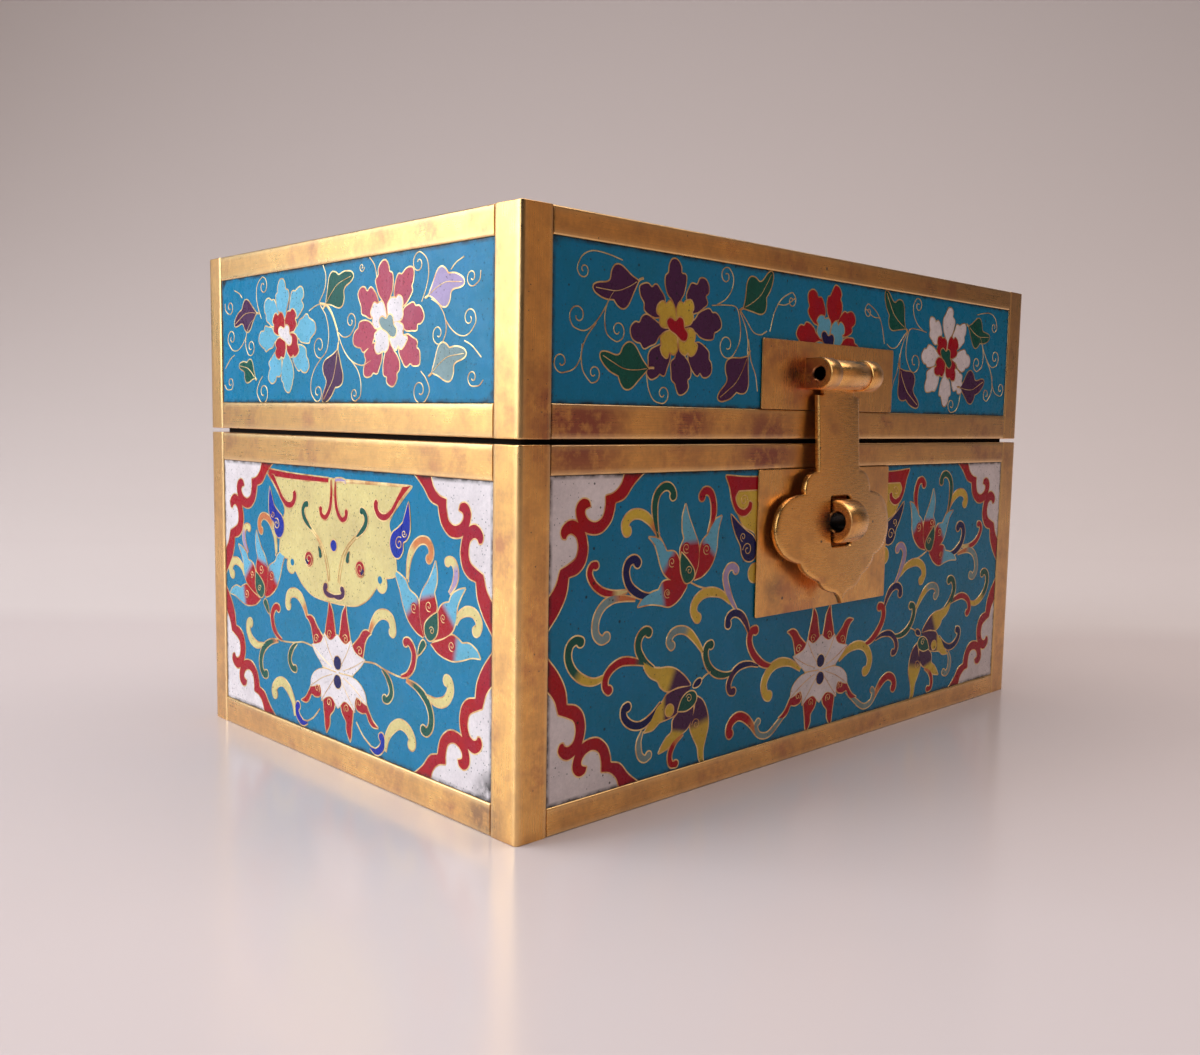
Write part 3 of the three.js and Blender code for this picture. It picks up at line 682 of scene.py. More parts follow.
def short_body(palette):
    """The body's end: spandrels, a horned beast's mask, a bloom a side, and a lotus with tendrils."""
    d = Design(palette, mirror=40.8)
    spandrels(d, left=4.4, right=78.1, top=4.7, bottom=46.2)
    d.level = 0
    for v in ([(48.0, 32.7), (51.0, 32.5), (53.8, 33.0), (58.0, 33.3), (60.4, 32.4)],
              [(61.4, 30.2), (62.0, 29.2)],
              [(59.6, 19.6), (59.3, 18.2)], [(46.0, 42.2), (48.0, 44.0), (50.4, 45.2)],
              [(63.4, 34.6), (65.0, 35.2)],
              [(70.0, 24.4), (70.6, 23.4), (71.4, 22.8)], [(69.0, 20.0), (69.8, 19.0)]):
        d.wire(v, 0.34)
    d.level = 1
    for root, tint, width, turn, line in (
        ("cream", "salmon", 1.0, 0.35,
         [(59.3, 19.2), (59.6, 16.8), (60.6, 14.8), (62.2, 13.6),
          (63.9, 13.5), (64.9, 14.5), (64.7, 15.7), (63.8, 16.0)]),
        ("lilac", "cream", 0.95, 0.5,
         [(69.0, 20.0), (70.1, 18.6), (70.5, 17.1), (70.0, 15.9), (69.0, 15.6), (68.2, 16.2)]),
        ("cream", "cream", 1.15, 0.5,
         [(70.4, 23.9), (71.2, 22.7), (72.8, 21.9), (74.4, 22.0), (75.4, 23.1), (75.0, 24.2), (74.1, 24.2)]),
        ("salmon", "cream", 1.3, 0.2,
         [(49.6, 28.4), (50.6, 26.6), (52.0, 25.3), (53.8, 24.9), (55.3, 25.5), (55.7, 26.9), (55.0, 27.6)]),
        ("red", "red", 1.0, 0.5,
         [(57.8, 33.2), (59.4, 32.6), (60.6, 31.2), (60.9, 29.5), (60.2, 28.3), (59.2, 27.9), (58.5, 28.6)]),
        ("green", "green", 0.95, 0.5,
         [(53.0, 33.0), (54.3, 33.9), (55.2, 35.2), (55.2, 36.4), (54.2, 37.3), (53.1, 37.0)]),
        ("salmon", "green", 1.1, 0.1,
         [(59.0, 33.5), (61.6, 34.1), (63.8, 35.4), (64.9, 37.2), (64.8, 39.0), (63.7, 40.0), (62.7, 39.3)]),
        ("cream", "cream", 1.25, 0.5,
         [(64.0, 34.9), (66.2, 35.3), (68.2, 34.7), (69.3, 33.2), (69.0, 31.9), (67.8, 32.0)]),
        ("blue", "blue", 1.1, 0.5, [(49.8, 45.2), (51.4, 45.5), (52.8, 44.6), (53.1, 43.4), (52.2, 42.7)]),
        ("cream", "cream", 1.35, 0.5,
         [(53.7, 44.9), (54.2, 42.8), (55.7, 41.0), (57.6, 40.1), (59.5, 40.6), (60.6, 42.0), (59.7, 43.0)]),
    ):
        d.band(line, width, root, tip=tint, turn=turn)
    petals(d, [
        ([(63.2, 26.7), (62.4, 24.6), (62.0, 22.0), (61.2, 21.2),
          (59.8, 20.6), (58.9, 19.4), (57.5, 18.7), (56.0, 18.3)],
         [(63.0, 26.8), (61.5, 26.3), (59.6, 25.0), (58.3, 23.0), (57.4, 20.8), (56.0, 18.3)], 0.42,
         (60.9, 23.0, 0.75)),
        ([(65.4, 27.2), (67.6, 26.4), (69.5, 25.5), (70.9, 25.8), (71.8, 26.3),
          (71.8, 26.3), (73.4, 26.1), (75.0, 26.8), (75.7, 27.7)],
         [(64.8, 27.4), (66.6, 28.5), (69.4, 29.0), (71.6, 28.6), (73.8, 27.9), (75.7, 27.7)], 0.5,
         (69.6, 27.0, 0.75)),
        ([(65.6, 26.6), (66.4, 23.1), (67.4, 21.7), (68.9, 21.2),
          (69.0, 21.1), (69.6, 20.1), (71.0, 19.3), (72.5, 18.9)],
         [(65.5, 26.9), (68.0, 26.1), (69.7, 25.0), (70.5, 23.4), (70.7, 21.8), (71.4, 20.4), (72.5, 18.9)],
         0.48, (67.7, 23.5, 0.65)),
        ([(63.2, 26.7), (62.4, 24.6), (62.2, 22.2), (62.9, 20.4), (64.3, 18.8), (65.2, 17.4), (65.9, 16.0)],
         [(65.0, 24.0), (66.0, 23.0), (66.2, 22.0), (65.6, 20.3),
          (65.6, 20.3), (66.2, 18.8), (66.2, 17.2), (65.9, 16.0)],
         0.45, (64.4, 22.3, 0.8)),
    ], "red", "pale_blue")
    d.level = 2
    d.cell(closed([(66.4, 22.9), (64.9, 23.7), (63.6, 24.8), (63.5, 26.1),
                   (64.4, 27.0), (65.6, 26.6), (66.4, 25.4), (66.4, 22.9)]), (65.0, 25.3), "green")
    d.cell(closed([(63.0, 27.2), (63.7, 27.7), (63.2, 28.4), (62.0, 29.4), (62.2, 28.2)]), (62.8, 28.1),
           "green")
    d.curl(65.1, 25.6, 0.6, 200)
    lotus(d, 40.9, 35.5)
    mask(d)
    return d


def mask(d):
    """The horned beast's mask that hangs from the panel's top, drawn in half outline and mirrored."""
    d.mirror = 40.0
    d.level = 1
    d.cell(closed([(60.4, 6.3), (57.6, 8.6), (54.8, 11.6), (55.6, 14.0), (56.4, 17.0), (56.4, 18.9),
                   (54.8, 19.5), (53.0, 19.8), (51.4, 21.4), (49.4, 23.2), (46.6, 24.5), (43.6, 24.9),
                   (40.0, 25.0), (40.0, 25.0), (40.0, 6.3), (40.0, 6.3), (60.4, 6.3)]), (46.0, 12.0), "cream")
    d.dot(52.9, 20.6, 1.25, "cream")
    d.level = 2
    d.cell(closed([(59.6, 8.5), (59.9, 10.5), (59.9, 12.5), (59.2, 13.7), (58.3, 14.2),
                   (58.2, 15.4), (57.3, 16.4), (56.2, 16.4), (55.3, 15.5), (55.1, 14.2),
                   (55.8, 13.0), (57.2, 12.2), (58.7, 10.9), (59.6, 8.5)]), (57.0, 14.0), "blue")
    d.dot(52.5, 20.1, 0.55, "turquoise", rim=0)
    d.between([(38.6, 6.2), (28.0, 6.0), (20.0, 5.6)], [(38.6, 6.9), (28.0, 6.9), (20.6, 6.7)], "red",
              once=True)
    d.wire([(41.2, 6.6), (50.0, 6.4), (59.4, 6.3)], 0.5, once=True)
    d.level = 3
    d.between([(60.2, 6.2), (57.5, 8.4), (55.9, 10.2), (54.4, 11.3), (53.0, 11.5),
               (51.8, 11.0), (51.1, 10.0), (51.0, 9.2), (51.5, 8.6), (52.1, 9.0)],
              [(58.2, 6.5), (56.6, 8.3), (55.4, 9.7), (54.0, 10.5), (52.8, 10.5), (52.1, 9.9), (52.1, 9.0)],
              "red")
    d.band([(40.6, 6.4), (40.6, 9.0), (41.1, 11.0), (42.3, 12.2), (43.5, 11.8), (43.7, 10.6)], 0.8, "red")
    d.band([(40.6, 6.4), (42.2, 6.3), (43.6, 6.6)], 0.5, "lilac", form=ribbon, once=True)
    d.band([(46.3, 14.5), (47.6, 13.6), (48.7, 12.6), (49.0, 11.5), (48.3, 10.6), (47.3, 10.6)], 0.9, "green")
    d.band([(44.4, 16.8), (43.9, 17.8), (43.9, 18.6)], 0.8, "green", rim=0.08)
    d.wire([(46.6, 14.4), (44.4, 16.0), (42.8, 18.0), (41.9, 20.4), (41.6, 22.0)], 0.26)
    d.wire([(46.2, 14.2), (43.9, 15.9), (42.3, 17.8), (41.4, 20.2), (41.2, 21.8)], 0.2)
    d.dot(40.0, 16.3, 0.85, "blue", once=True)
    d.dot(47.3, 19.1, 1.15, "red")
    d.band([(39.4, 24.0), (41.4, 24.0), (42.6, 23.5), (42.6, 22.7), (41.8, 22.8)], 0.85, "purple")
    d.level = 4
    d.dot(47.9, 19.5, 0.5, "navy", rim=0)
    d.curl(47.3, 19.1, 1.1, 20)
    d.curl(57.4, 14.4, 1.0, 300, -1)
    d.curl(58.6, 12.9, 0.6, 0)


def long_lid(palette):
    """The lid's front: three round flowers among leaves and spiral wires."""
    d = Design(palette, mirror=64.8)
    flower(d, 28.3, 13.5, 9.1, "purple", "yellow", "red")
    flower(d, 64.2, 13.4, 9.0, "red", "pale_blue", "navy", 10)
    flower(d, 101.4, 13.9, 9.0, "white", "red", "green", 3)
    for stem, tip, tint, other, flip in (
        ((20.4, 7.8), (12.2, 9.4), "purple", "green", 1), ((22.6, 19.2), (13.6, 17.8), "green", "purple", 1),
        ((43.8, 16.6), (37.4, 23.0), "purple", "purple", 1), ((42.6, 9.6), (49.2, 3.9), "green", "green", -1),
    ):
        leaf(d, stem, tip, tint, flip)
        leaf(d, (129.6 - stem[0], stem[1]), (129.6 - tip[0], tip[1]), other, -flip)
    d.level = 0
    for line, middle, way in (
        ([(17.4, 5.4), (14.6, 4.9), (12.0, 4.8), (10.2, 5.6), (9.4, 7.0)], (10.5, 7.3), -1),
        ([(16.0, 9.4), (14.8, 11.0), (14.3, 13.0), (14.7, 15.0), (16.2, 15.9)], (16.7, 14.5), -1),
        ([(15.6, 9.8), (14.0, 12.2), (12.4, 14.0), (10.8, 14.9), (9.2, 14.7)], (9.6, 13.1), 1),
        ([(12.8, 13.8), (11.2, 15.6), (10.3, 17.6), (10.5, 19.8), (11.8, 21.3)], (12.5, 20.2), -1),
        ([(10.4, 16.6), (10.1, 18.4), (9.0, 19.8), (7.4, 20.3)], (6.8, 19.0), 1),
        ([(22.3, 20.0), (22.8, 22.0), (23.8, 23.4), (25.2, 23.8)], (25.6, 22.5), -1),
        ([(36.6, 9.6), (38.6, 8.6), (39.9, 7.0), (40.1, 5.4), (39.2, 4.3)], (38.5, 5.4), -1),
        ([(35.4, 9.8), (38.4, 9.5), (41.0, 9.7), (41.9, 12.0), (41.9, 14.4), (40.6, 16.4)], (39.0, 15.2), 1),
        ([(49.0, 12.6), (50.0, 9.6), (51.6, 7.6), (54.0, 6.4)], (54.2, 7.6), 1),
    ):
        d.tendril(line, middle, way=way)
    for v in ([(41.6, 9.8), (43.4, 11.4), (45.0, 12.9), (46.8, 13.2), (48.2, 12.6)],
              [(41.8, 10.2), (43.2, 12.4), (43.8, 14.4), (43.8, 16.4)],
              [(43.9, 14.0), (44.6, 17.0), (45.8, 19.2), (46.4, 21.6)],
              [(50.6, 8.4), (52.8, 8.3), (55.0, 7.2)]):
        d.wire(v, 0.22)
    return d


def short_lid(palette):
    """The lid's end: two round flowers with leaves between spiral wires."""
    d = Design(palette, mirror=40.4)
    flower(d, 26.0, 13.8, 8.7, "pale_blue", "red", "white")
    flower(d, 54.7, 13.7, 8.9, "rose", "white", "grey")
    for stem, tip, tint, flip in (
        ((64.3, 10.1), (71.9, 8.9), "lilac", 1), ((65.0, 20.3), (72.3, 17.9), "grey", 1),
        ((16.5, 9.9), (8.9, 11.4), "purple", -1),
        ((15.8, 20.3), (10.4, 18.2), "green", -1), ((41.4, 16.6), (37.2, 24.2), "purple", 1),
        ((38.2, 9.7), (45.7, 6.0), "green", 1),
    ):
        leaf(d, stem, tip, tint, flip)
    d.level = 0
    for line, middle, way, once in (
        ([(62.6, 10.9), (63.6, 9.2), (64.2, 7.2), (63.8, 5.4), (62.4, 4.4)], (61.9, 5.8), -1, False),
        ([(64.8, 10.7), (66.4, 11.5), (67.7, 13.0), (68.1, 14.8), (67.4, 16.3)], (66.3, 15.3), 1, False),
        ([(67.8, 13.4), (69.2, 14.8), (71.0, 15.7), (72.8, 15.6), (74.2, 14.4)], (73.0, 13.6), -1, False),
        ([(75.3, 7.8), (75.1, 8.9), (74.2, 9.5)], (73.5, 8.5), 1, False),
        ([(75.9, 21.4), (75.1, 22.1), (74.0, 22.2)], (73.7, 21.1), 1, False),
        ([(62.4, 20.1), (63.6, 21.1), (64.4, 22.6), (63.6, 23.9)], (62.2, 22.7), 1, False),
        ([(36.6, 9.9), (38.2, 11.6), (38.9, 14.0), (38.4, 16.4), (36.9, 17.6)], (36.2, 15.9), 1, True),
        ([(41.4, 14.0), (43.0, 14.8), (44.8, 14.6), (46.1, 13.4)], (45.0, 12.6), -1, True),
        ([(36.8, 17.6), (34.8, 19.2), (33.7, 21.0), (33.7, 22.8), (34.7, 23.9)], (35.6, 22.8), -1, True),
        ([(45.0, 18.2), (46.8, 19.7), (47.6, 21.4), (47.5, 23.2), (46.4, 24.0)], (45.9, 23.1), 1, True),
    ):
        d.tendril(line, middle, way=way, once=once)
    for v in ([(69.1, 7.2), (70.2, 6.4), (71.9, 5.8)], [(72.0, 16.4), (73.6, 17.1), (75.5, 18.6)]):
        d.wire(v)
    for v in ([(50.0, 4.0), (51.3, 5.2), (51.9, 7.0)], [(37.4, 4.0), (38.2, 5.6), (37.8, 7.6), (36.2, 9.4)],
              [(33.2, 10.5), (35.0, 9.9), (36.6, 9.6)],
              [(41.2, 13.6), (42.4, 15.8), (43.8, 17.4), (45.6, 18.5), (48.0, 19.0), (50.2, 18.4)],
              [(41.2, 13.8), (41.7, 15.2), (41.5, 16.8)]):
        d.wire(v, once=True)
    d.wire([(36.4, 9.6), (38.4, 10.0), (40.0, 11.5), (41.4, 13.9)], 0.5, once=True)
    d.curl(48.0, 5.2, 0.7, 0, once=True)
    return d


def lid_top(palette):
    """The lid's top: spandrels, a large flower between two lotuses, and tendrils."""
    d = Design(palette, mirror=HALF_LENGTH)
    spandrels(d, left=5.2, right=124.8, top=5.2, bottom=78.1)
    for way in (1, -1):

        def at(points):
            return np.array(points) * [1, way] + [0, 0 if way > 0 else 2 * HALF_DEPTH]

        d.level = 1
        for tint, width, line in (
            ("yellow", 1.5, [(50.0, 20.0), (47.0, 15.0), (42.0, 13.4), (38.6, 16.0), (40.4, 18.6)]),
            ("green", 1.3, [(44.0, 26.0), (39.6, 24.0), (36.0, 26.4), (36.4, 30.0), (38.8, 29.6)]),
            ("red", 1.4, [(53.0, 14.0), (55.0, 10.4), (59.6, 9.6), (61.4, 12.6), (59.4, 14.0)]),
            ("navy", 1.4, [(30.0, 20.4), (26.4, 17.0), (22.6, 18.6), (22.4, 22.0), (24.8, 22.4)]),
            ("lilac", 1.2, [(20.0, 30.0), (16.0, 27.2), (12.2, 29.0), (12.0, 32.6), (14.4, 33.2)]),
            ("red", 1.4, [(18.0, 38.0), (13.0, 36.8), (10.0, 39.4), (11.4, 42.4), (13.6, 41.4)]),
            ("blue", 1.3, [(33.0, 37.0), (34.6, 33.4), (33.4, 30.2), (30.6, 29.8), (29.8, 32.0)]),
            ("cream", 1.3, [(53.6, 22.4), (51.6, 25.2), (48.6, 26.0), (47.0, 24.0), (48.4, 22.6)]),
            ("rose", 1.2, [(24.0, 30.4), (21.4, 33.4), (18.4, 33.6), (17.4, 31.4)]),
            ("green", 1.2, [(33.6, 16.4), (34.6, 12.6), (37.6, 11.0), (39.6, 12.8)]),
        ):
            d.band(at(line), width, tint)
        d.level = 0
        for v in ([(56.0, 30.0), (50.0, 20.0), (44.0, 26.0), (38.0, 34.0), (33.0, 38.0)],
                  [(24.0, 36.0), (20.0, 30.0), (18.0, 38.0)],
                  [(54.0, 22.0), (53.0, 14.0), (46.0, 12.0), (38.0, 13.6), (30.0, 20.4), (28.0, 30.0)]):
            d.wire(at(v), 0.34)
        for line, middle in (([(57.0, 28.0), (55.4, 25.0), (57.2, 22.4)], (58.6, 23.8)),
                             ([(46.0, 30.0), (47.6, 34.0), (45.0, 36.6)], (43.6, 34.6)),
                             ([(28.6, 26.0), (26.2, 25.2), (24.8, 27.0)], (26.0, 28.0))):
            d.tendril(at(line), at([middle])[0], way=way)
    flower(d, HALF_LENGTH, HALF_DEPTH, 15.0, "rose", "white", "green")
    for x in (28.5, 101.5):
        lotus(d, x, HALF_DEPTH, 1.15)
    return d


# ---- From a design to solid enamel and wire ---------------------------------------------------
EMBED = 0.06  # how far cells and wires go down into the ground enamel
BEVEL = 0.04  # how far in from a cell's edge its top begins
CROWN = 0.014  # how far the ridge of a free wire stands over its edges
STAGGER = 0.0001  # each cell over the one before it, so that no two tops lie in one plane
SLIM = 0.03  # least width of a band, so that its ends don't close to nothing
SAG = 0.002  # how far a round cell's edge lies under its middle
GROUND = 1.7  # thickness of the ground enamel on its copper
RECESS = 0.2  # how far the ground lies in from the frame's face
GRIME_SHADE_REACH = 2.0  # how far in from a panel's edge dirt and painted shade can lie


def strap(a, b, low, high, crown):
    """A band as a closed solid. Its section, at every station, goes from the foot of one edge up to
    the top, over the middle, which is raised by the crown, and down to the foot of the other edge."""
    gap = np.linalg.norm(a - b, axis=1, keepdims=True)
    away = (a - b) / np.maximum(gap, 1e-6)
    middle = 0.5 * (a + b)
    one = np.where(gap < SLIM, middle + away * SLIM / 2, a)
    other = np.where(gap < SLIM, middle - away * SLIM / 2, b)
    bevel = np.minimum(BEVEL, gap / 4)
    flat = [one, one - away * bevel, middle, other + away * bevel, other]
    rows = [np.c_[p, np.full(len(p), h)] for p, h in zip(flat, (low, high, high + crown, high, low))]
    grid = np.stack(rows, 1)
    n, cols = grid.shape[:2]
    ends = [list(range(cols))[::-1], list(range((n - 1) * cols, n * cols))]
    return grid.reshape(-1, 3), grid_quads(n, cols).tolist() + ends


def coin(shape, middle, low, high):
    """A flat cell as a closed solid: rings at its middle, its top edge and its foot."""
    shape = shape if np.cross(shape, np.roll(shape, -1, 0)).sum() > 0 else shape[::-1]
    rings = [(middle + (shape - middle) * 0.5, high), (shape, high - SAG), (shape, low)]
    grid = np.stack([np.c_[s, np.full(len(s), h)] for s, h in rings])
    points, faces = capped(grid, [*middle, high], [*middle, low])
    return points, [f[::-1] for f in faces]


def solid(one, other, high, crown):
    """A strap where the other edge is a line, and a coin where it is a single middle point."""
    if np.ndim(other) == 1:
        return coin(one, other, -EMBED, high)
    return strap(one, other, -EMBED, high, crown)


def on_face(points, face):
    """Face places (right, down, height over the ground) as places in space."""
    top = face["top"]
    x, y, h = points.T
    depth = face["plane"] - RECESS + h
    along = x - face["run"] / 2
    axes = {
        "front": (along, -depth, top - y),
        "back": (-along, depth, top - y),
        "left": (-depth, -along, top - y),
        "right": (depth, along, top - y),
        "top": (along, HALF_DEPTH - y, depth),
    }
    return np.stack(axes[face["name"]], 1)


def slab(x0, x1, y0, y1, thickness, step=1.6):
    """The ground enamel: a grid over the panel's face, the same grid behind it, and walls between."""
    nx, ny = int((x1 - x0) / step), int((y1 - y0) / step)
    xs, ys = np.linspace(x0, x1, nx + 1), np.linspace(y0, y1, ny + 1)
    gx, gy = np.meshgrid(xs, ys)
    top = np.stack([gx, gy, np.zeros_like(gx)], -1).reshape(-1, 3)
    base = top * [1, 1, 0] - [0, 0, thickness]
    cols = nx + 1
    r, c = np.meshgrid(np.arange(ny), np.arange(nx), indexing="ij")
    a = (r * cols + c).ravel()
    quads = np.stack([a, a + cols, a + cols + 1, a + 1], 1)
    count = len(top)
    under = quads[:, ::-1] + count
    first, right = np.arange(nx), nx + cols * np.arange(ny)
    last, left = ny * cols + np.arange(nx, 0, -1), cols * np.arange(ny, 0, -1)
    rim = np.r_[first, right, last, left]
    after = np.roll(rim, -1)
    wall = np.stack([rim, after, after + count, rim + count], 1)
    return np.vstack([top, base]), quads.tolist() + under.tolist() + wall[:, ::-1].tolist()


def enamelled(design, face, panel, body, finishes, name):
    """A panel as two pieces: enamel in one and its gilt wires in the other."""
    layer = sizes()["layer"]
    x0, x1, y0, y1 = panel
    ground = slab(x0, x1, y0, y1, GROUND)
    skins = {"panel": [ground], "wires": []}
    tints = [np.tile(design.palette["turquoise"], (len(ground[0]), 1))]
    for i, (one, other, level, tint) in enumerate(design.cells):
        high = layer * (2 * level + 2) + STAGGER * i
        skins["panel"].append(solid(one, other, high, 0.0))
        tints.append(np.repeat(tint, len(skins["panel"][-1][0]) // len(tint), axis=0))
    for i, (one, other, level, under) in enumerate(design.wires):
        high = layer * (2 * level + (1 if under else 3)) + STAGGER * i
        skins["wires"].append(solid(one, other, high, 0.0 if under else CROWN))
    plain = f"{name}_{face['name']}"
    for kind, parts in skins.items():
        points, faces = joined(parts)
        points[:, :2] = np.clip(points[:, :2], (x0, y0), (x1, y1))
        near = np.minimum(points[:, :2] - (x0, y0), (x1, y1) - points[:, :2]).min(1)
        skin = (on_face(points, face), faces)
        new = plain.replace("_enamel", f"_{kind}")
        if kind == "wires":
            piece(new, skin, body, finishes["wire"])
        else:
            glaze = {"glaze": np.c_[np.vstack(tints), np.clip(near / GRIME_SHADE_REACH, 0, 1)]}
            piece(new, skin, body, finishes["enamel"], (plain,), glaze)


# ---- Materials ----------------------------------------------------------------------------------
def node(tree, kind, links=None, out=0, **settings):
    """Adds one node with its settings, and links sockets or sets values on its inputs. Gives back one
    of its outputs."""
    made = tree.nodes.new("ShaderNode" + kind)
    for key, value in settings.items():
        setattr(made, key, value)
    for key, value in (links or {}).items():
        if isinstance(value, bpy.types.NodeSocket):
            tree.links.new(value, made.inputs[key])
        else:
            made.inputs[key].default_value = value
    return made.outputs[out]


def new_material(name):
    """An empty material with its Principled shader, and that shader."""
    made = bpy.data.materials.new(name)
    made.use_nodes = True
    return made, made.node_tree, made.node_tree.nodes["Principled BSDF"]


def rgba(c):
    """A linear colour, or an sRGB hex one, with its alpha."""
    return (*(linear(c) if isinstance(c, str) else c)[:3], 1.0)


def millimetres(tree, offset=(0.0, 0.0, 0.0), stretch=(1.0, 1.0, 1.0)):
    """Object coordinates in millimetres."""
    place = node(tree, "TexCoord", out="Object")
    scale = tuple(1000 * s for s in stretch)
    return node(tree, "Mapping", {"Vector": place, "Location": offset, "Scale": scale})


def patches(tree, place, per_mm, low, high, strength, rough=0.65):
    """Cloudy patches with so many to a millimetre: a share that rises between two levels of a noise."""
    cloud = node(tree, "TexNoise", {"Vector": place, "Scale": per_mm, "Detail": 6.0, "Roughness": rough})
    return node(tree, "MapRange", {"Value": cloud, "From Min": low, "From Max": high, "To Max": strength})


def specks(tree, place, per_mm, size, share, strength):
    """Round specks of uneven size, in a share of the cells of a cell pattern."""
    cell = node(tree, "TexVoronoi", {"Vector": place, "Scale": per_mm})
    pick = node(tree, "SeparateColor", {0: cell.node.outputs["Color"]})
    reach = node(tree, "Math", {0: pick, 1: size / share, 2: 0.02}, operation="MULTIPLY_ADD")
    close = node(tree, "Math", {0: cell, 1: reach}, operation="LESS_THAN")
    few = node(tree, "Math", {0: pick, 1: share}, operation="LESS_THAN")
    both = node(tree, "Math", {0: close, 1: few}, operation="MULTIPLY")
    return node(tree, "Math", {0: both, 1: strength}, operation="MULTIPLY")


def stain_and_shade_spots(tree, place, spots):
    """Layers of colour round set places, for stains and for painted shadow, each given as (place, reach,
    strength, colour): the share falls off evenly with distance and is broken up by patches."""
    cloud, layers = patches(tree, place, 0.5, 0.3, 0.55, 1.0), []
    for spot, reach, strength, tint in spots:
        away = node(tree, "VectorMath", {0: place, 1: spot}, out=1, operation="DISTANCE")
        falling = {"Value": away, "From Min": reach, "From Max": reach * 0.35, "To Max": strength}
        near = node(tree, "MapRange", falling)
        layers.append((node(tree, "Math", {0: near, 1: cloud}, operation="MULTIPLY"), rgba(tint)))
    return layers


def layered(tree, shade, *layers):
    """A colour with others laid over it in order, each as (share, colour)."""
    for share, tint in layers:
        shade = node(tree, "Mix", {0: share, 6: shade, 7: tint}, out=2, data_type="RGBA")
    return shade


def surfaced(tree, shader, shade, rough, height, strength, depth):
    """The shader given its colour, its roughness and a relief so many metres deep."""
    tree.links.new(shade, shader.inputs["Base Color"])
    tree.links.new(rough, shader.inputs["Roughness"])
    bump = node(tree, "Bump", {"Height": height, "Strength": strength, "Distance": depth})
    tree.links.new(bump, shader.inputs["Normal"])


def polished_enamel(c):
    """Vitreous enamel, fired in cells and ground flat: clear gloss over slightly cloudy colour, with
    dark pinholes where bubbles were ground open, and dirt with painted shade in the angle under the frame."""
    made, tree, shader = new_material("Vitreous enamel, stone-ground and polished")
    place = millimetres(tree)
    glaze = node(tree, "Attribute", out="Color", attribute_name="glaze")
    # Cloudiness of the glass, broad and fine, lightens and darkens each colour.
    cloud = patches(tree, place, 0.16, 0.25, 0.75, 0.3)
    tone = node(tree, "Math", {0: cloud, 1: patches(tree, place, 2.4, 0.3, 0.7, 0.16)}, operation="ADD")
    value = node(tree, "Math", {0: tone, 1: 0.78}, operation="ADD")
    hue = node(tree, "Math", {0: cloud, 1: 0.05, 2: 0.4925}, operation="MULTIPLY_ADD")
    shade = node(tree, "HueSaturation", {"Hue": hue, "Value": value, "Saturation": 1.06, "Color": glaze})
    # Pinholes hold dark polish.
    pits = node(tree, "Math", {
        0: specks(tree, place, 0.8, 0.15, 0.45, 0.8), 1: specks(tree, place, 2.2, 0.24, 0.35, 0.6),
    }, operation="MAXIMUM")
    # Dirt and painted shade lie along the panel's edge, thick and thin: darker towards the frame.
    edge = node(tree, "MapRange", {"Value": glaze.node.outputs["Alpha"], "From Min": 0.3, "From Max": 0.02})
    dirt_and_shade = node(tree, "Math", {0: edge, 1: patches(tree, place, 0.6, 0.3, 0.6, 0.95)}, operation="MULTIPLY")
    corner = stain_and_shade_spots(tree, place, (
        ((-65.0, -36.5, 4.6), 4.5, 0.95, c["grime"]), ((-65.0, -37.0, 63.5), 1.6, 0.8, c["pinhole"]),
    ))
    shade = layered(tree, shade, (pits, rgba(c["pinhole"])), (dirt_and_shade, rgba(c["grime"])), *corner)
    rough = node(tree, "Math", {0: pits, 1: 0.5, 2: 0.2}, operation="MULTIPLY_ADD")
    rough = node(tree, "Math", {0: rough, 1: patches(tree, place, 0.5, 0.3, 0.7, 0.16)}, operation="ADD")
    shader.inputs["IOR"].default_value = 1.5
    shader.inputs["Specular IOR Level"].default_value = 0.25
    height = node(tree, "Math", {0: patches(tree, place, 0.45, 0.2, 0.8, 0.35), 1: pits},
                  operation="SUBTRACT")
    surfaced(tree, shader, shade, rough, height, 0.25, 0.00006)
    return made


def gilt_wire(c):
    """Copper wire, gilded and ground flush with the enamel: a narrow satin gold line."""
    made, tree, shader = new_material("Gilt copper wire, ground flush")
    dull = patches(tree, millimetres(tree), 0.35, 0.42, 0.66, 1.0)
    shade = layered(tree, rgba(c["gilt"]), (dull, rgba(c["worn_gilt"])))
    tree.links.new(shade, shader.inputs["Base Color"])
    shader.inputs["Metallic"].default_value = 1.0
    shader.inputs["Roughness"].default_value = 0.36
    return made


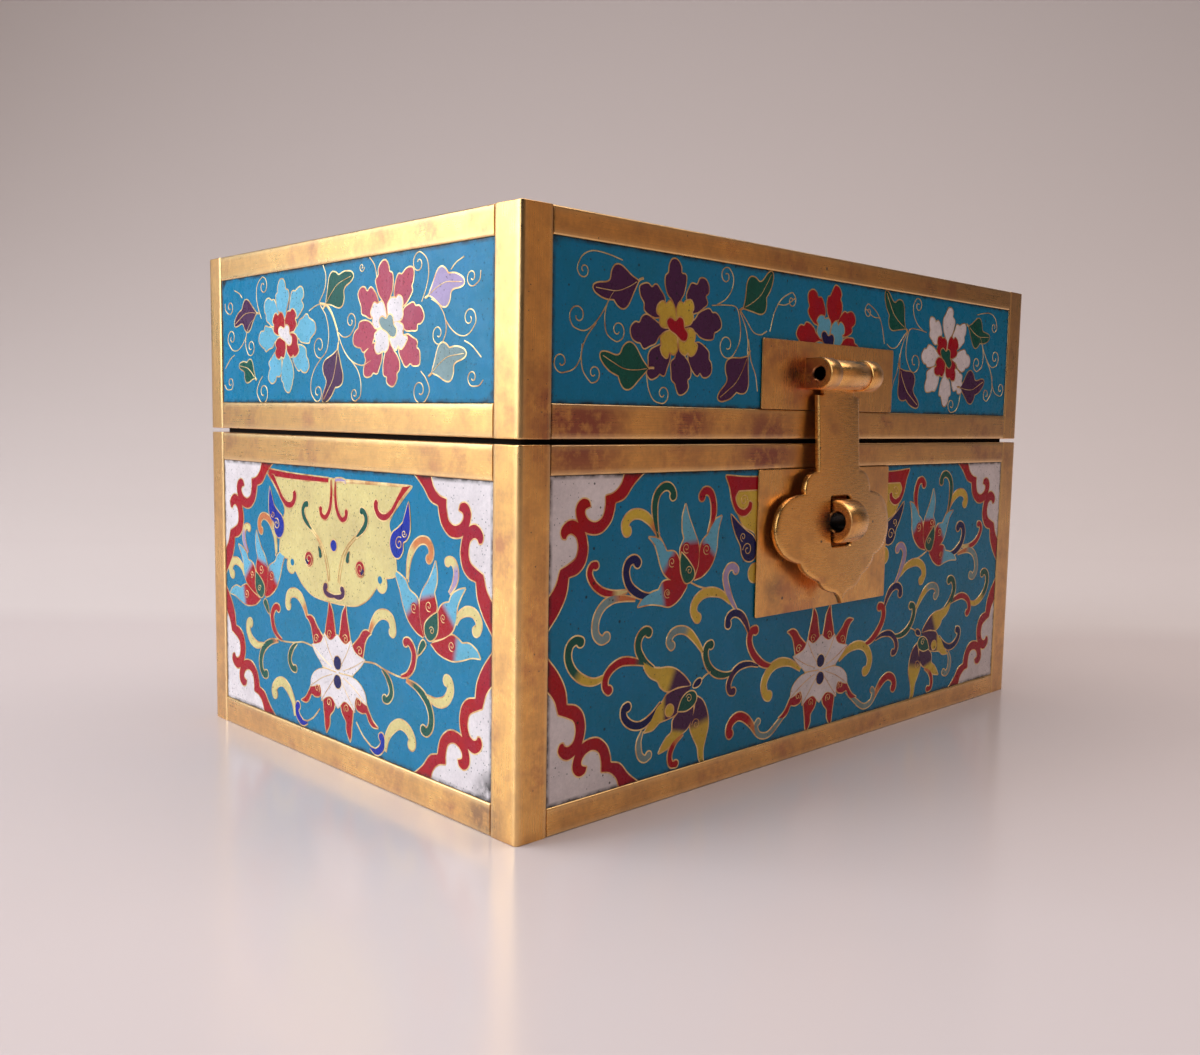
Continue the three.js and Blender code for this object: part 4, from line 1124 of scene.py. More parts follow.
def worn_brass(name, c, stains, rubbing, stains_and_shade):
    """The look that all the brass here shares: clean brass with brown stains and copper-red bloom in
    patches, each given as (patches to a millimetre, low, high, strength, roughness of the noise),
    rubbing lines, small dark pits, a waxy film that reflects white, and near black painted shade in its
    holes."""
    made, tree, shader = new_material(name)
    place = millimetres(tree)
    moved = millimetres(tree, (31.0, 17.0, 5.0))
    brown, red = patches(tree, place, *stains[0]), patches(tree, moved, *stains[1])
    stained = (brown, rgba(c["tarnish"])), (red, rgba(c["copper"]))
    shade = layered(tree, rgba(c["brass"]), *stained, *stains_and_shade(tree, place))
    lines = node(tree, "TexNoise", {"Vector": rubbing(tree), "Scale": 1.0, "Detail": 4.0, "Roughness": 0.7})
    value = node(tree, "Math", {0: lines, 1: 0.5, 2: 0.75}, operation="MULTIPLY_ADD")
    shade = node(tree, "HueSaturation", {"Value": value, "Color": shade})
    pits = node(tree, "Math", {
        0: specks(tree, place, 0.33, 0.07, 0.3, 0.85), 1: specks(tree, place, 1.3, 0.13, 0.16, 0.75),
    }, operation="MAXIMUM")
    shader.inputs["Metallic"].default_value = 1.0
    rough = node(tree, "Math", {0: lines, 1: 0.22, 2: 0.17}, operation="MULTIPLY_ADD")
    rough = node(tree, "Math", {0: brown, 1: 0.2, 2: rough}, operation="MULTIPLY_ADD")
    rough = node(tree, "Math", {0: pits, 1: 0.3, 2: rough}, operation="MULTIPLY_ADD")
    shader.inputs["Coat Roughness"].default_value = 0.32
    shader.inputs["Coat IOR"].default_value = 1.7
    height = node(tree, "Math", {0: lines, 1: 0.35, 2: patches(tree, place, 0.25, 0.2, 0.8, 1.2)},
                  operation="MULTIPLY_ADD")
    height = node(tree, "Math", {0: height, 1: pits}, operation="SUBTRACT")
    # The walls of its holes are painted near black and have no wax: painted shade inside the holes.
    wall = node(tree, "Attribute", out="Fac", attribute_name="hole")
    waxed = node(tree, "Math", {0: 1.0, 1: wall}, operation="SUBTRACT")
    tree.links.new(waxed, shader.inputs["Coat Weight"])
    shade = layered(tree, shade, (pits, rgba("#2A1A10")), (wall, rgba("#140C08")))
    surfaced(tree, shader, shade, rough, height, 0.35, 0.00008)
    return made


def frame_brass(c):
    """Brass strip, drawn and hand-rubbed, then worn: pale gold where hands and cloths polish its edges,
    brown tarnish, copper-red bloom, fine rubbing lines along the strip, and dark pits."""

    def rubbing(tree):
        run = node(tree, "Attribute", out="Color", attribute_name="marks")
        parts = node(tree, "SeparateColor", {0: run})
        along = node(tree, "Math", {0: parts, 1: 0.12}, operation="MULTIPLY")
        across = node(tree, "Math", {0: parts.node.outputs[1], 1: 6.0}, operation="MULTIPLY")
        return node(tree, "CombineXYZ", {0: along, 1: across})

    def stains_and_shade(tree, place):
        run = node(tree, "Attribute", out="Color", attribute_name="marks")
        edge = node(tree, "SeparateColor", {0: run}, out=2)
        spots = stain_and_shade_spots(tree, place, (
            ((-55.0, -41.6, 53.4), 11.0, 0.95, "#93391A"), ((-34.0, -41.6, 53.4), 6.0, 0.9, "#93391A"),
            ((-16.0, -41.6, 49.5), 9.0, 0.95, "#93391A"), ((-65.0, -35.0, 2.0), 5.0, 0.7, "#6A3A1C"),
        ))
        return [*spots, (node(tree, "Math", {0: edge, 1: 0.6}, operation="MULTIPLY"), rgba("#FFD893"))]

    stains = (0.12, 0.4, 0.72, 0.72, 0.78), (0.06, 0.53, 0.66, 0.6, 0.78)
    return worn_brass("Strip brass, rubbed and tarnished", c, stains, rubbing, stains_and_shade)


def cast_brass(c):
    """Brass casting, filed and buffed bright: warm satin gold with faint cross scratches and a little
    brown in its hollows, and copper-red bloom where a cloth can't reach."""

    def rubbing(tree):
        return millimetres(tree, stretch=(0.5, 1.0, 5.0))

    def stains_and_shade(tree, place):
        return stain_and_shade_spots(tree, place, (((-2.6, -45.4, 38.25), 3.4, 0.9, "#B4521F"),))

    stains = (0.16, 0.52, 0.72, 0.5, 0.65), (0.12, 0.6, 0.68, 0.4, 0.7)
    return worn_brass("Cast brass, filed and buffed", c, stains, rubbing, stains_and_shade)


def plate_brass(c):
    """Brass sheet, cut and rubbed: satin gold with brown patches, a copper-red bloom beside the upper
    ears, near black right under them, painted shadow in brown beside the strap and under the leaf's left
    lobe, and a few dark pits."""

    def rubbing(tree):
        return millimetres(tree, stretch=(5.0, 1.0, 0.4))

    def stains_and_shade(tree, place):
        # The last two spots, left of the strap and below the leaf's left lobe, are painted shadow of the
        # strap and the leaf.
        return stain_and_shade_spots(tree, place, (
            ((-8.5, -42.0, 61.0), 5.5, 0.8, "#C25E28"), ((-6.0, -42.0, 61.5), 2.0, 0.6, "#3A1408"),
            ((-7.5, -42.0, 52.0), 4.0, 0.55, "#4A2A12"), ((-13.5, -42.0, 28.0), 3.0, 0.5, "#5A3418"),
        ))

    stains = (0.12, 0.45, 0.68, 0.6, 0.7), (0.07, 0.55, 0.64, 0.5, 0.72)
    return worn_brass("Sheet brass, rubbed and tarnished", c, stains, rubbing, stains_and_shade)


def counter_enamel(c):
    """Counter-enamel, brushed on and fired but not ground: one blue with an orange-peel gloss."""
    made, tree, shader = new_material("Counter-enamel, fired and left unground")
    place = millimetres(tree)
    value = node(tree, "Math", {0: patches(tree, place, 0.1, 0.25, 0.75, 0.3), 1: 0.82}, operation="ADD")
    shade = node(tree, "HueSaturation", {"Value": value, "Color": rgba(c["lining"])})
    shade = layered(tree, shade, (specks(tree, place, 0.7, 0.14, 0.4, 0.6), rgba("#12313A")))
    # Away from the inside of the tray, on its rim, outer walls and foot, the lining is painted near black and
    # matte: painted shade in the seam.
    inside = node(tree, "Attribute", out="Fac", attribute_name="inside")
    shade = layered(tree, rgba("#1A120D"), (inside, shade))
    rough = node(tree, "MapRange", {"Value": inside, "To Min": 0.95, "To Max": 0.38})
    surfaced(tree, shader, shade, rough, patches(tree, place, 0.55, 0.2, 0.8, 1.0), 0.3, 0.0001)
    return made


FINISHES = {
    "enamel": polished_enamel, "wire": gilt_wire, "frame": frame_brass, "cast": cast_brass,
    "lining": counter_enamel, "plate": plate_brass,
}


def finish(name):
    """The material of that finish, made the first time it is asked for."""
    tag = f"box_finish_{name}"
    for made in bpy.data.materials:
        if made.get("finish") == tag:
            return made
    made = FINISHES[name](colours())
    made["finish"] = tag
    return made


# ---- Operators ----------------------------------------------------------------------------------
SECTION_STEP = 0.6  # longest side of a strip's section, so that a worn edge stays narrow
END_ROUND = 0.12  # radius round the ends of a strip


def corners(name):
    """A node's two corners in millimetres."""
    low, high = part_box(name)
    return np.array(low) / MM, np.array(high) / MM


def carrier(name):
    """The body that a frame's node rides."""
    return "box" if name.startswith("body") else "lid"


def bar_piece(name, body, run, edge, seed):
    """A strip in a node's own box: a rounded oblong carried along the axis that it runs on."""
    low, high = corners(name)
    a, b = [i for i in range(3) if i != run]
    shape = [(low[a], low[b]), (high[a], low[b]), (high[a], high[b]), (low[a], high[b])]
    section = refined(rounded(shape, edge), SECTION_STEP)
    core = np.array([(low[a] + high[a]) / 2, (low[b] + high[b]) / 2])
    rows = int((high[run] - low[run]) / 2) + 4
    local = carried(section, core, END_ROUND, low[run], high[run], rows)
    grid = np.empty_like(local)
    grid[..., a], grid[..., b], grid[..., run] = local[..., 0], local[..., 1], local[..., 2]
    caps = []
    for at in (low[run], high[run]):
        point = np.empty(3)
        point[a], point[b], point[run] = core[0], core[1], at
        caps.append(point)
    marks = {"marks": metal_marks(grid, run, edge_mark(section, shape, reach=0.9)[None], seed)}
    skin = capped(grid, *caps)
    piece(f"{name}_strip", skin, body, finish("frame"), (name,), marks, smooth=35)


class CLOISONNE_OT_rails(bpy.types.Operator):
    """Rails of both storeys and the border round the lid's top, as worn brass strips"""

    bl_idname = "cloisonne.rails"
    bl_label = "Brass rails"

    def execute(self, context):
        edge = sizes()["strip_edge"]
        for seed, name in enumerate(sorted(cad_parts)):
            if "_rail_" in name or "_top_border_" in name:
                run = 0 if name.endswith(("front", "back")) else 1
                bar_piece(name, carrier(name), run, edge, seed)
        return {"FINISHED"}


class CLOISONNE_OT_posts(bpy.types.Operator):
    """Corner posts of both storeys: brass angle with a rounded outer edge"""

    bl_idname = "cloisonne.posts"
    bl_label = "Corner posts"

    def execute(self, context):
        edge = sizes()["strip_edge"]
        thick, outer = 2.0, 0.7
        for seed, name in enumerate(sorted(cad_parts)):
            if "_post_" not in name:
                continue
            low, high = corners(name)
            sx, sy = np.sign(low[0] + high[0]), np.sign(low[1] + high[1])
            long, short = high[0] - low[0], high[1] - low[1]
            shape = np.array([
                (0, 0), (long, 0), (long, thick), (thick, thick), (thick, short), (0, short),
            ], float)
            # The outer corner's arc, the two arcs at one leg's end, the inner corner, and the other
            # leg's two arcs.
            section = np.vstack([
                rounded(shape[[5, 0, 1]], outer, 5)[6:12], rounded(shape[[0, 1, 2]], edge)[4:12],
                [shape[3]], rounded(shape[[3, 4, 5, 0]], edge)[4:12],
            ])
            place = np.array([sx * HALF_LENGTH, sy * HALF_DEPTH])
            section = refined(place - section * [sx, sy], SECTION_STEP)
            core = place - np.array([thick / 2, thick / 2]) * [sx, sy]
            grid = carried(section, core, END_ROUND, low[2], high[2])
            skin = capped(grid, [*core, low[2]], [*core, high[2]])
            # The legs' ends and the middle of the outer corner's arc are rubbed.
            sharp = place - np.vstack([shape[[1, 5]], [(0.25, 0.25)]]) * [sx, sy]
            marks = {"marks": metal_marks(grid, 2, edge_mark(section, sharp, reach=0.8)[None], 100 + seed)}
            new, body = f"{name}_angle", carrier(name)
            piece(new, skin, body, finish("frame"), (name,), marks, smooth=35)
        return {"FINISHED"}


FACES = {
    "front": {"plane": HALF_DEPTH, "run": 2 * HALF_LENGTH},
    "back": {"plane": HALF_DEPTH, "run": 2 * HALF_LENGTH},
    "left": {"plane": HALF_LENGTH, "run": 2 * HALF_DEPTH},
    "right": {"plane": HALF_LENGTH, "run": 2 * HALF_DEPTH},
    "top": {"plane": LID_TOP, "run": 2 * HALF_LENGTH},
}


def panel_box(name, side):
    """A face and its panel's edges on it, read from the panel's node."""
    low, high = corners(f"{name}_{side}")
    face = dict(FACES[side], name=side, top=BODY_TOP if name.startswith("body") else LID_TOP)
    if side in ("front", "back"):
        x0, x1 = sorted((-1 if side == "back" else 1) * v + HALF_LENGTH for v in (low[0], high[0]))
    elif side in ("left", "right"):
        x0, x1 = sorted((1 if side == "right" else -1) * v + HALF_DEPTH for v in (low[1], high[1]))
    else:
        x0, x1 = low[0] + HALF_LENGTH, high[0] + HALF_LENGTH
    if side == "top":
        return face, (x0, x1, HALF_DEPTH - high[1], HALF_DEPTH - low[1])
    return face, (x0, x1, face["top"] - high[2], face["top"] - low[2])


class CLOISONNE_OT_body_panels(bpy.types.Operator):
    """Enamelled panels of the body with their gilt wires"""

    bl_idname = "cloisonne.body_panels"
    bl_label = "Body panels"

    def execute(self, context):
        palette = colours()
        both = {"enamel": finish("enamel"), "wire": finish("wire")}
        for side in ("front", "back", "left", "right"):
            if side in ("left", "right"):
                design = short_body(palette)
            else:
                design = long_body(palette, beast=side == "front")
            enamelled(design, *panel_box("body_enamel", side), "box", both, "body_enamel")
        return {"FINISHED"}


class CLOISONNE_OT_lid_panels(bpy.types.Operator):
    """Enamelled panels of the lid's sides and top with their gilt wires"""

    bl_idname = "cloisonne.lid_panels"
    bl_label = "Lid panels"

    def execute(self, context):
        palette = colours()
        both = {"enamel": finish("enamel"), "wire": finish("wire")}
        designs = {
            "front": long_lid, "back": long_lid, "left": short_lid, "right": short_lid, "top": lid_top,
        }
        for side, draw in designs.items():
            enamelled(draw(palette), *panel_box("lid_enamel", side), "lid", both, "lid_enamel")
        return {"FINISHED"}


def tray(rows, name, node_name, body):
    """A tray as a skin of nested rounded oblongs, each given by how far it lies inside the lining's
    own outline, the radius of its corners, its height, and one where it is inside the tray. A fan
    closes its floor on either side."""
    low, high = corners(node_name)
    x, y = (high[0] - low[0]) / 2, (high[1] - low[1]) / 2
    shape = np.array([(-1, -1), (1, -1), (1, 1), (-1, 1)], float)
    rings = []
    for inset, radius, height, _ in rows:
        ring = rounded(shape * [x - inset, y - inset], radius, 6)
        rings.append(np.c_[ring, np.full(len(ring), height)])
    grid = np.stack(rings)
    cols = grid.shape[1]
    inside = np.repeat([row[3] for row in rows], cols)
    skin = capped(grid, [0, 0, rows[0][2]], [0, 0, rows[-1][2]])
    inside = np.r_[inside, rows[0][3], rows[-1][3]].astype(float)
    piece(name, skin, body, finish("lining"), (node_name,), {"inside": inside}, smooth=40)


class CLOISONNE_OT_linings(bpy.types.Operator):
    """Counter-enamelled linings of the body and the lid, and the brass base plate"""

    bl_idname = "cloisonne.linings"
    bl_label = "Linings and base"

    def execute(self, context):
        wall, fillet = 0.8, 3.0
        # The body's lining stands up this far inside the seam, which keeps most light out of it.
        lip = 0.6
        turn = np.radians(np.linspace(0, 90, 7))
        for name, body, way in (("body_lining", "box", 1), ("lid_lining", "lid", -1)):
            low, high = corners(name)
            foot, rim = (low[2], high[2]) if way > 0 else (high[2], low[2])
            rim += lip * (way > 0)
            floor = foot + way * wall
            rows = [
                (8.0, 1.0, foot, 0), (0.3, 0.8, foot, 0), (0.0, 0.8, foot + way * 0.3, 0),
                (0.0, 0.8, rim - way * 0.2, 0), (0.2, 0.8, rim, 0), (wall - 0.2, 0.7, rim, 0),
                (wall, 0.7, rim - way * 0.2, 0), (wall, 0.7, rim - way * 0.9, 1),
                (wall, 0.7, floor + way * fillet * 2, 1),
            ]
            for t in turn:
                inset, height = wall + fillet * (1 - np.cos(t)), floor + way * fillet * (1 - np.sin(t))
                rows.append((inset, 0.7 + 1.6 * np.sin(t), height, 1))
            rows += [(wall + 12.0, 1.6, floor, 1), (wall + 24.0, 1.6, floor, 1)]
            tray(rows, f"{name}_tray", name, body)
        bar_piece("base_plate", "box", 0, sizes()["strip_edge"], 77)
        return {"FINISHED"}


def bored(outer, middle, bore, low, high, edge, steps=0):
    """A plate with a hole, as a skin closed both ways: from the hole's wall over one face, round the
    outer edge and back over the other face. Both edges of both outlines are bevelled. Each point of
    the hole lies on the ray from its middle to a point of the outer outline. The bore is the hole's
    radius, or a function that gives its reach along each ray. Steps are extra rings on both faces."""
    ray = unit(outer - middle)
    hole = middle + ray * (bore(ray)[:, None] if callable(bore) else bore)
    wide, slim = hole + ray * edge, outer - normals(outer) * edge
    # Rings close to both edges keep the flat face's shading flat up to them.
    share = np.sort(np.r_[np.linspace(0, 1, steps + 2), 0.08, 0.92])[:, None, None]
    face = wide * (1 - share) + slim * share
    rings = [(hole, low + edge), (hole, high - edge)]
    rings += [(ring, high) for ring in face]
    soft = edge * 0.3
    drawn_in = outer - normals(outer) * soft
    rings += [(drawn_in, high - soft), (outer, high - edge), (outer, low + edge), (drawn_in, low + soft)]
    rings += [(ring, low) for ring in face[::-1]]
    return np.stack([np.c_[ring, np.full(len(ring), at)] for ring, at in rings])


def hole_shade_mask(grid):
    """One on the wall of a bored grid's hole, its first two rings, painted near black as shade there, and
    nothing elsewhere.
    """
    return np.repeat(np.arange(len(grid)) < 2, grid.shape[1]).astype(float)


def normals(shape):
    """Outward normals of a closed outline, taken across each point's two neighbours."""
    run = unit(np.roll(shape, -1, 0) - np.roll(shape, 1, 0))
    area = (shape[:, 0] * np.roll(shape[:, 1], -1) - shape[:, 1] * np.roll(shape[:, 0], -1)).sum()
    return np.stack([run[:, 1], -run[:, 0]], 1) * np.sign(area)


def circle(middle, radius, start=0.0, end=360.0, count=48):
    """Points of an arc from one angle to another, without its last point if it is a whole circle."""
    turn = np.radians(np.linspace(start, end, count, endpoint=abs(end - start) < 360))
    return np.asarray(middle) + radius * np.stack([np.cos(turn), np.sin(turn)], 1)


def across(grid):
    """A grid of (y, z, x) as places in space."""
    return grid[..., [2, 0, 1]]


HASP_AXIS = np.array([-44.4, 61.5])  # y and z of the hasp's pin
BORE = 1.05  # radius of its hole
HASP_KNUCKLE, HALF_KNUCKLE = 2.3, 4.1  # radius and half the length of the hasp's knuckle
EAR, EAR_INNER, EAR_OUTER = 2.5, 4.22, 7.2  # radius of an ear, and how far off the middle its faces are
EAR_FOOT = -41.7  # y where the ears end, in the plate
LEAF_MIDDLE = np.array([0.0, 38.25])  # x and z of the slot's middle
LEAF_FRONT, LEAF_THICK = -44.65, 1.0  # y of the leaf's face and how thick it is
LEAF_BOW, LEAF_TILT = 114.0, 3.0  # radius of its bow and how many degrees it leans
SLOT = np.array([2.8, 3.95])  # half the slot's width and height
LEAF_EDGE = [
    ((8.6, 46.3), (9.1, 43.6)), ((9.2, 43.2), (9.0, 42.8)), ((15.4, 42.6), (15.8, 37.3)),
    ((15.6, 33.0), (10.2, 32.0)), ((10.0, 30.4), (5.9, 28.9)), ((4.9, 27.2), (1.9, 26.8)),
    ((0.7, 26.5), (0.0, 24.9)),
]


def leaf_outline():
    """The hasp's outline in x and z: a strap, then lobes that are quadratic curves, each bent towards
    its control point, and the same on the other side."""
    strap_side = np.stack([np.full(14, 5.6), np.linspace(58.2, 46.3, 14)], 1)[:-1]
    neck = np.array([(0.0, 60.6), (2.2, 60.6), (4.1, 60.6), (4.1, 59.4), (4.1, 58.5), (4.7, 58.2)])
    parts, start = [neck, strap_side], np.array([5.6, 46.3])
    for control, end in LEAF_EDGE:
        run = np.hypot(*(np.array(end) - start))
        t = np.linspace(0, 1, max(3, int(run / 0.45)))[:-1, None]
        parts.append((1 - t) ** 2 * start + 2 * t * (1 - t) * np.array(control) + t**2 * np.array(end))
        start = np.array(end)
    half = np.vstack([*parts, start])
    return np.vstack([half, half[-2:0:-1] * [-1, 1]])


def slot_reach(ray):
    """How far the slot's edge is along each ray: a superellipse of high power, so that the oblong has
    slightly round corners."""
    return (np.abs(ray / SLOT) ** 14).sum(1) ** (-1 / 14)


class CLOISONNE_OT_hasp(bpy.types.Operator):
    """The hasp: a bowed leaf with a slot, hung by its knuckle on a pin between two ears of its plate"""

    bl_idname = "cloisonne.hasp"
    bl_label = "Hasp"

    def execute(self, context):
        bright, edge = finish("cast"), sizes()["casting_edge"]
        leaf_grid = bored(leaf_outline(), LEAF_MIDDLE, slot_reach, 0.0, LEAF_THICK, edge, steps=14)
        x, z, deep = (leaf_grid[..., i] for i in range(3))
        bow = LEAF_BOW - np.sqrt(LEAF_BOW**2 - x**2)
        lean = (z - LEAF_MIDDLE[1]) * math.tan(math.radians(LEAF_TILT))
        leaf_skin = ringed(np.stack([x, LEAF_FRONT + bow + lean + deep, z], -1))
        barrel = circle(HASP_AXIS, HASP_KNUCKLE, count=72)
        knuckle = bored(barrel, HASP_AXIS, BORE, -HALF_KNUCKLE, HALF_KNUCKLE, edge=0.18)
        skin = joined([leaf_skin, ringed(across(knuckle))])
        walls = {"hole": np.r_[hole_shade_mask(leaf_grid), hole_shade_mask(knuckle)]}
        piece("hasp_leaf", skin, "hasp", bright, ("hasp",), walls, smooth=32)

        plate = thin_plate("hasp_lid_plate")
        parts, walls = [plate], [np.zeros(len(plate[0]))]
        for side in (-1, 1):
            nose = circle(HASP_AXIS, EAR, -90, -270, 40)
            foot = [(EAR_FOOT, HASP_AXIS[1] + z) for z in (EAR, 1.2, 0.0, -1.2, -EAR)]
            x0, x1 = sorted((side * EAR_INNER, side * EAR_OUTER))
            ear = bored(np.vstack([nose, foot]), HASP_AXIS, BORE, x0, x1, edge=0.22)
            parts.append(ringed(across(ear)))
            walls.append(hole_shade_mask(ear))
        walls = {"hole": np.concatenate(walls)}
        skin, node_names = joined(parts), ("hasp_lid_plate",)
        piece("hasp_lid_mount", skin, "lid", finish("plate"), node_names, walls, smooth=35)
        skin = pin([(0.9, 5.4), (0.88, 5.6), (0.6, 5.85), (0.0, 5.9)], [0, *HASP_AXIS])
        # The whole pin is painted near black: painted shade in the knuckle's hole.
        walls = {"hole": np.ones(len(skin[0]))}
        piece("hasp_pin_rod", skin, "lid", bright, ("hasp_pin",), walls, smooth=40)
        return {"FINISHED"}


def turned(profile, count=32):
    """A profile of (radius, height) turned about its axis, as a grid of (a, b, height)."""
    p = np.asarray(profile, float)
    turn = np.linspace(0, 2 * np.pi, count, endpoint=False)
    flat = p[:, 0][:, None, None] * np.stack([np.cos(turn), np.sin(turn)], 1)[None]
    return np.concatenate([flat, np.broadcast_to(p[:, 1][:, None, None], flat.shape[:2] + (1,))], 2)


def pin(end, middle):
    """A pin along x with two like ends, given as one end's (radius, distance from the pin's middle)."""
    grid = across(turned([(radius, -reach) for radius, reach in end[::-1]] + end)) + middle
    return capped(grid[1:-1], grid[0, 0], grid[-1, 0])


PLATE_THICK, PLATE_CORNER = 0.38, 0.35  # thickness of the hasp's plates and radius of their corners


def thin_plate(name):
    """A thin plate in its node's box: its outline drawn in by quarter circles towards both faces."""
    low, high = corners(name)
    low[1] = high[1] - PLATE_THICK
    edge = sizes()["plate_edge"]
    shape = np.array([(low[0], low[2]), (high[0], low[2]), (high[0], high[2]), (low[0], high[2])])
    section = rounded(shape, PLATE_CORNER, 4)
    core = section.mean(0)
    grid = carried(section, core, edge, low[1], high[1], rows=3)[..., [0, 2, 1]]
    return capped(grid, [core[0], low[1], core[1]], [core[0], high[1], core[1]])


class CLOISONNE_OT_staple(bpy.types.Operator):
    """The body's plate, and the round-nosed staple lug with a hole through it"""

    bl_idname = "cloisonne.staple"
    bl_label = "Plate and lug"

    def execute(self, context):
        skin, node_names = thin_plate("hasp_body_plate"), ("hasp_body_plate",)
        piece("hasp_body_mount", skin, "box", finish("plate"), node_names, smooth=35)
        low, high = corners("staple_lug")
        radius = (high[2] - low[2]) / 2
        hole = np.array([-HALF_DEPTH - 3.7, LEAF_MIDDLE[1]])
        nose = circle((low[1] + radius, hole[1]), radius, -90, -270, 40)
        feet = [(high[1], hole[1] + k * radius) for k in (1, 0.5, 0, -0.5, -1)]
        sides = [(high[1] * (1 - t) + nose[0, 0] * t, hole[1] - radius) for t in (0.35, 0.7)]
        tops = [(x, 2 * hole[1] - z) for x, z in sides[::-1]]
        shape = np.vstack([nose, tops, feet, sides])
        grid = across(bored(shape, hole, 1.45, low[0], high[0], edge=0.3))
        skin, walls = ringed(grid), {"hole": hole_shade_mask(grid)}
        piece("staple_lug_block", skin, "box", finish("cast"), ("staple_lug",), walls,
              smooth=35)
        return {"FINISHED"}


BUTT_AXIS = np.array([43.525, 50.95])  # y and z of the back hinges' pins
BUTT_LENGTH, BUTT_PLACE = 20.0, 38.0  # length of a back hinge, and how far off the middle it is
BUTT_BACK, BUTT_FACE = 41.675, 42.475  # y of its leaves' two faces
BUTT_KNUCKLE, BUTT_BORE = 1.8, 0.95  # radii of its knuckles and of the hole through them
BUTT_REACH = 2.15  # how near to the pin's height a leaf comes
KNUCKLE_GAP = 0.2  # between two knuckles


def butt_knuckle(x0, x1, way):
    """A knuckle rolled from its leaf: a round outline that runs down into the leaf on one side."""
    roll = circle((0, 0), BUTT_KNUCKLE, -125.7, 180, 44)
    web = np.array([(-1.85, -0.6), (-1.85, -2.2), (-1.45, -2.25), (-1.05, -2.2), (-1.05, -1.8)])
    shape = np.vstack([roll, web]) * [1, way] + BUTT_AXIS
    return ringed(across(bored(shape, BUTT_AXIS, BUTT_BORE, x0, x1, edge=0.12)))


def butt_leaf(name, x, way, knuckles):
    """A leaf of a back hinge as one skin: its plate, its knuckles and two round-headed rivets."""
    low, high = corners(name)
    half, third = BUTT_LENGTH / 2, BUTT_LENGTH / 3
    far, near = (low if way > 0 else high)[2], BUTT_AXIS[1] - way * BUTT_REACH
    z0, z1 = sorted((far, near))
    shape = np.array([(x - half, z0), (x + half, z0), (x + half, z1), (x - half, z1)])
    section = rounded(shape, 0.8, 4)
    core = section.mean(0)
    grid = carried(section, core, 0.16, BUTT_BACK, BUTT_FACE, rows=3)[..., [0, 2, 1]]
    parts = [capped(grid, [core[0], BUTT_BACK, core[1]], [core[0], BUTT_FACE, core[1]])]
    for k in knuckles:
        start = x - half + k * third + KNUCKLE_GAP / 2
        parts.append(butt_knuckle(start, start + third - KNUCKLE_GAP, way))
    rivet = [(0.0, 0.62), (0.5, 0.58), (0.95, 0.4), (1.25, 0.1), (1.3, -0.2), (0.0, -0.2)]
    for dx in (-6.0, 6.0):
        dome = turned(rivet, 24)[..., [0, 2, 1]] + [x + dx, BUTT_FACE, core[1]]
        parts.append(capped(dome[1:-1], dome[0, 0], dome[-1, 0]))
    return joined(parts)


class CLOISONNE_OT_back_hinges(bpy.types.Operator):
    """The two butt hinges behind: leaves with rolled knuckles and round-headed rivets, and pins"""

    bl_idname = "cloisonne.back_hinges"
    bl_label = "Back hinges"

    def execute(self, context):
        brass = finish("cast")
        for side, x in (("left", -BUTT_PLACE), ("right", BUTT_PLACE)):
            for part, body, way, knuckles in (("body", "box", 1, (0, 2)), ("lid", "lid", -1, (1,))):
                name = f"hinge_{part}_leaf_{side}"
                skin = butt_leaf(name, x, way, knuckles)
                piece(f"{name}_plate", skin, body, brass, (name,), smooth=35)
            name = f"hinge_pin_{side}"
            skin = pin([(0.8, 9.5), (0.76, 9.75), (0.5, 9.95), (0.0, 10.0)], [x, *BUTT_AXIS])
            piece(f"{name}_rod", skin, "box", brass, (name,), smooth=40)
        return {"FINISHED"}


# ---- Stage --------------------------------------------------------------------------------------
def softbox(name, place, target, size, power, tint):
    """An oblong lamp that faces a target."""
    lamp = bpy.data.lights.new(name, "AREA")
    lamp.shape, lamp.size, lamp.size_y = "RECTANGLE", *size
    lamp.energy, lamp.color = power, linear(tint)
    obj = bpy.data.objects.new(name, lamp)
    obj.location = place
    obj.rotation_euler = (Vector(target) - Vector(place)).to_track_quat("-Z", "Y").to_euler()
    bpy.context.scene.collection.objects.link(obj)


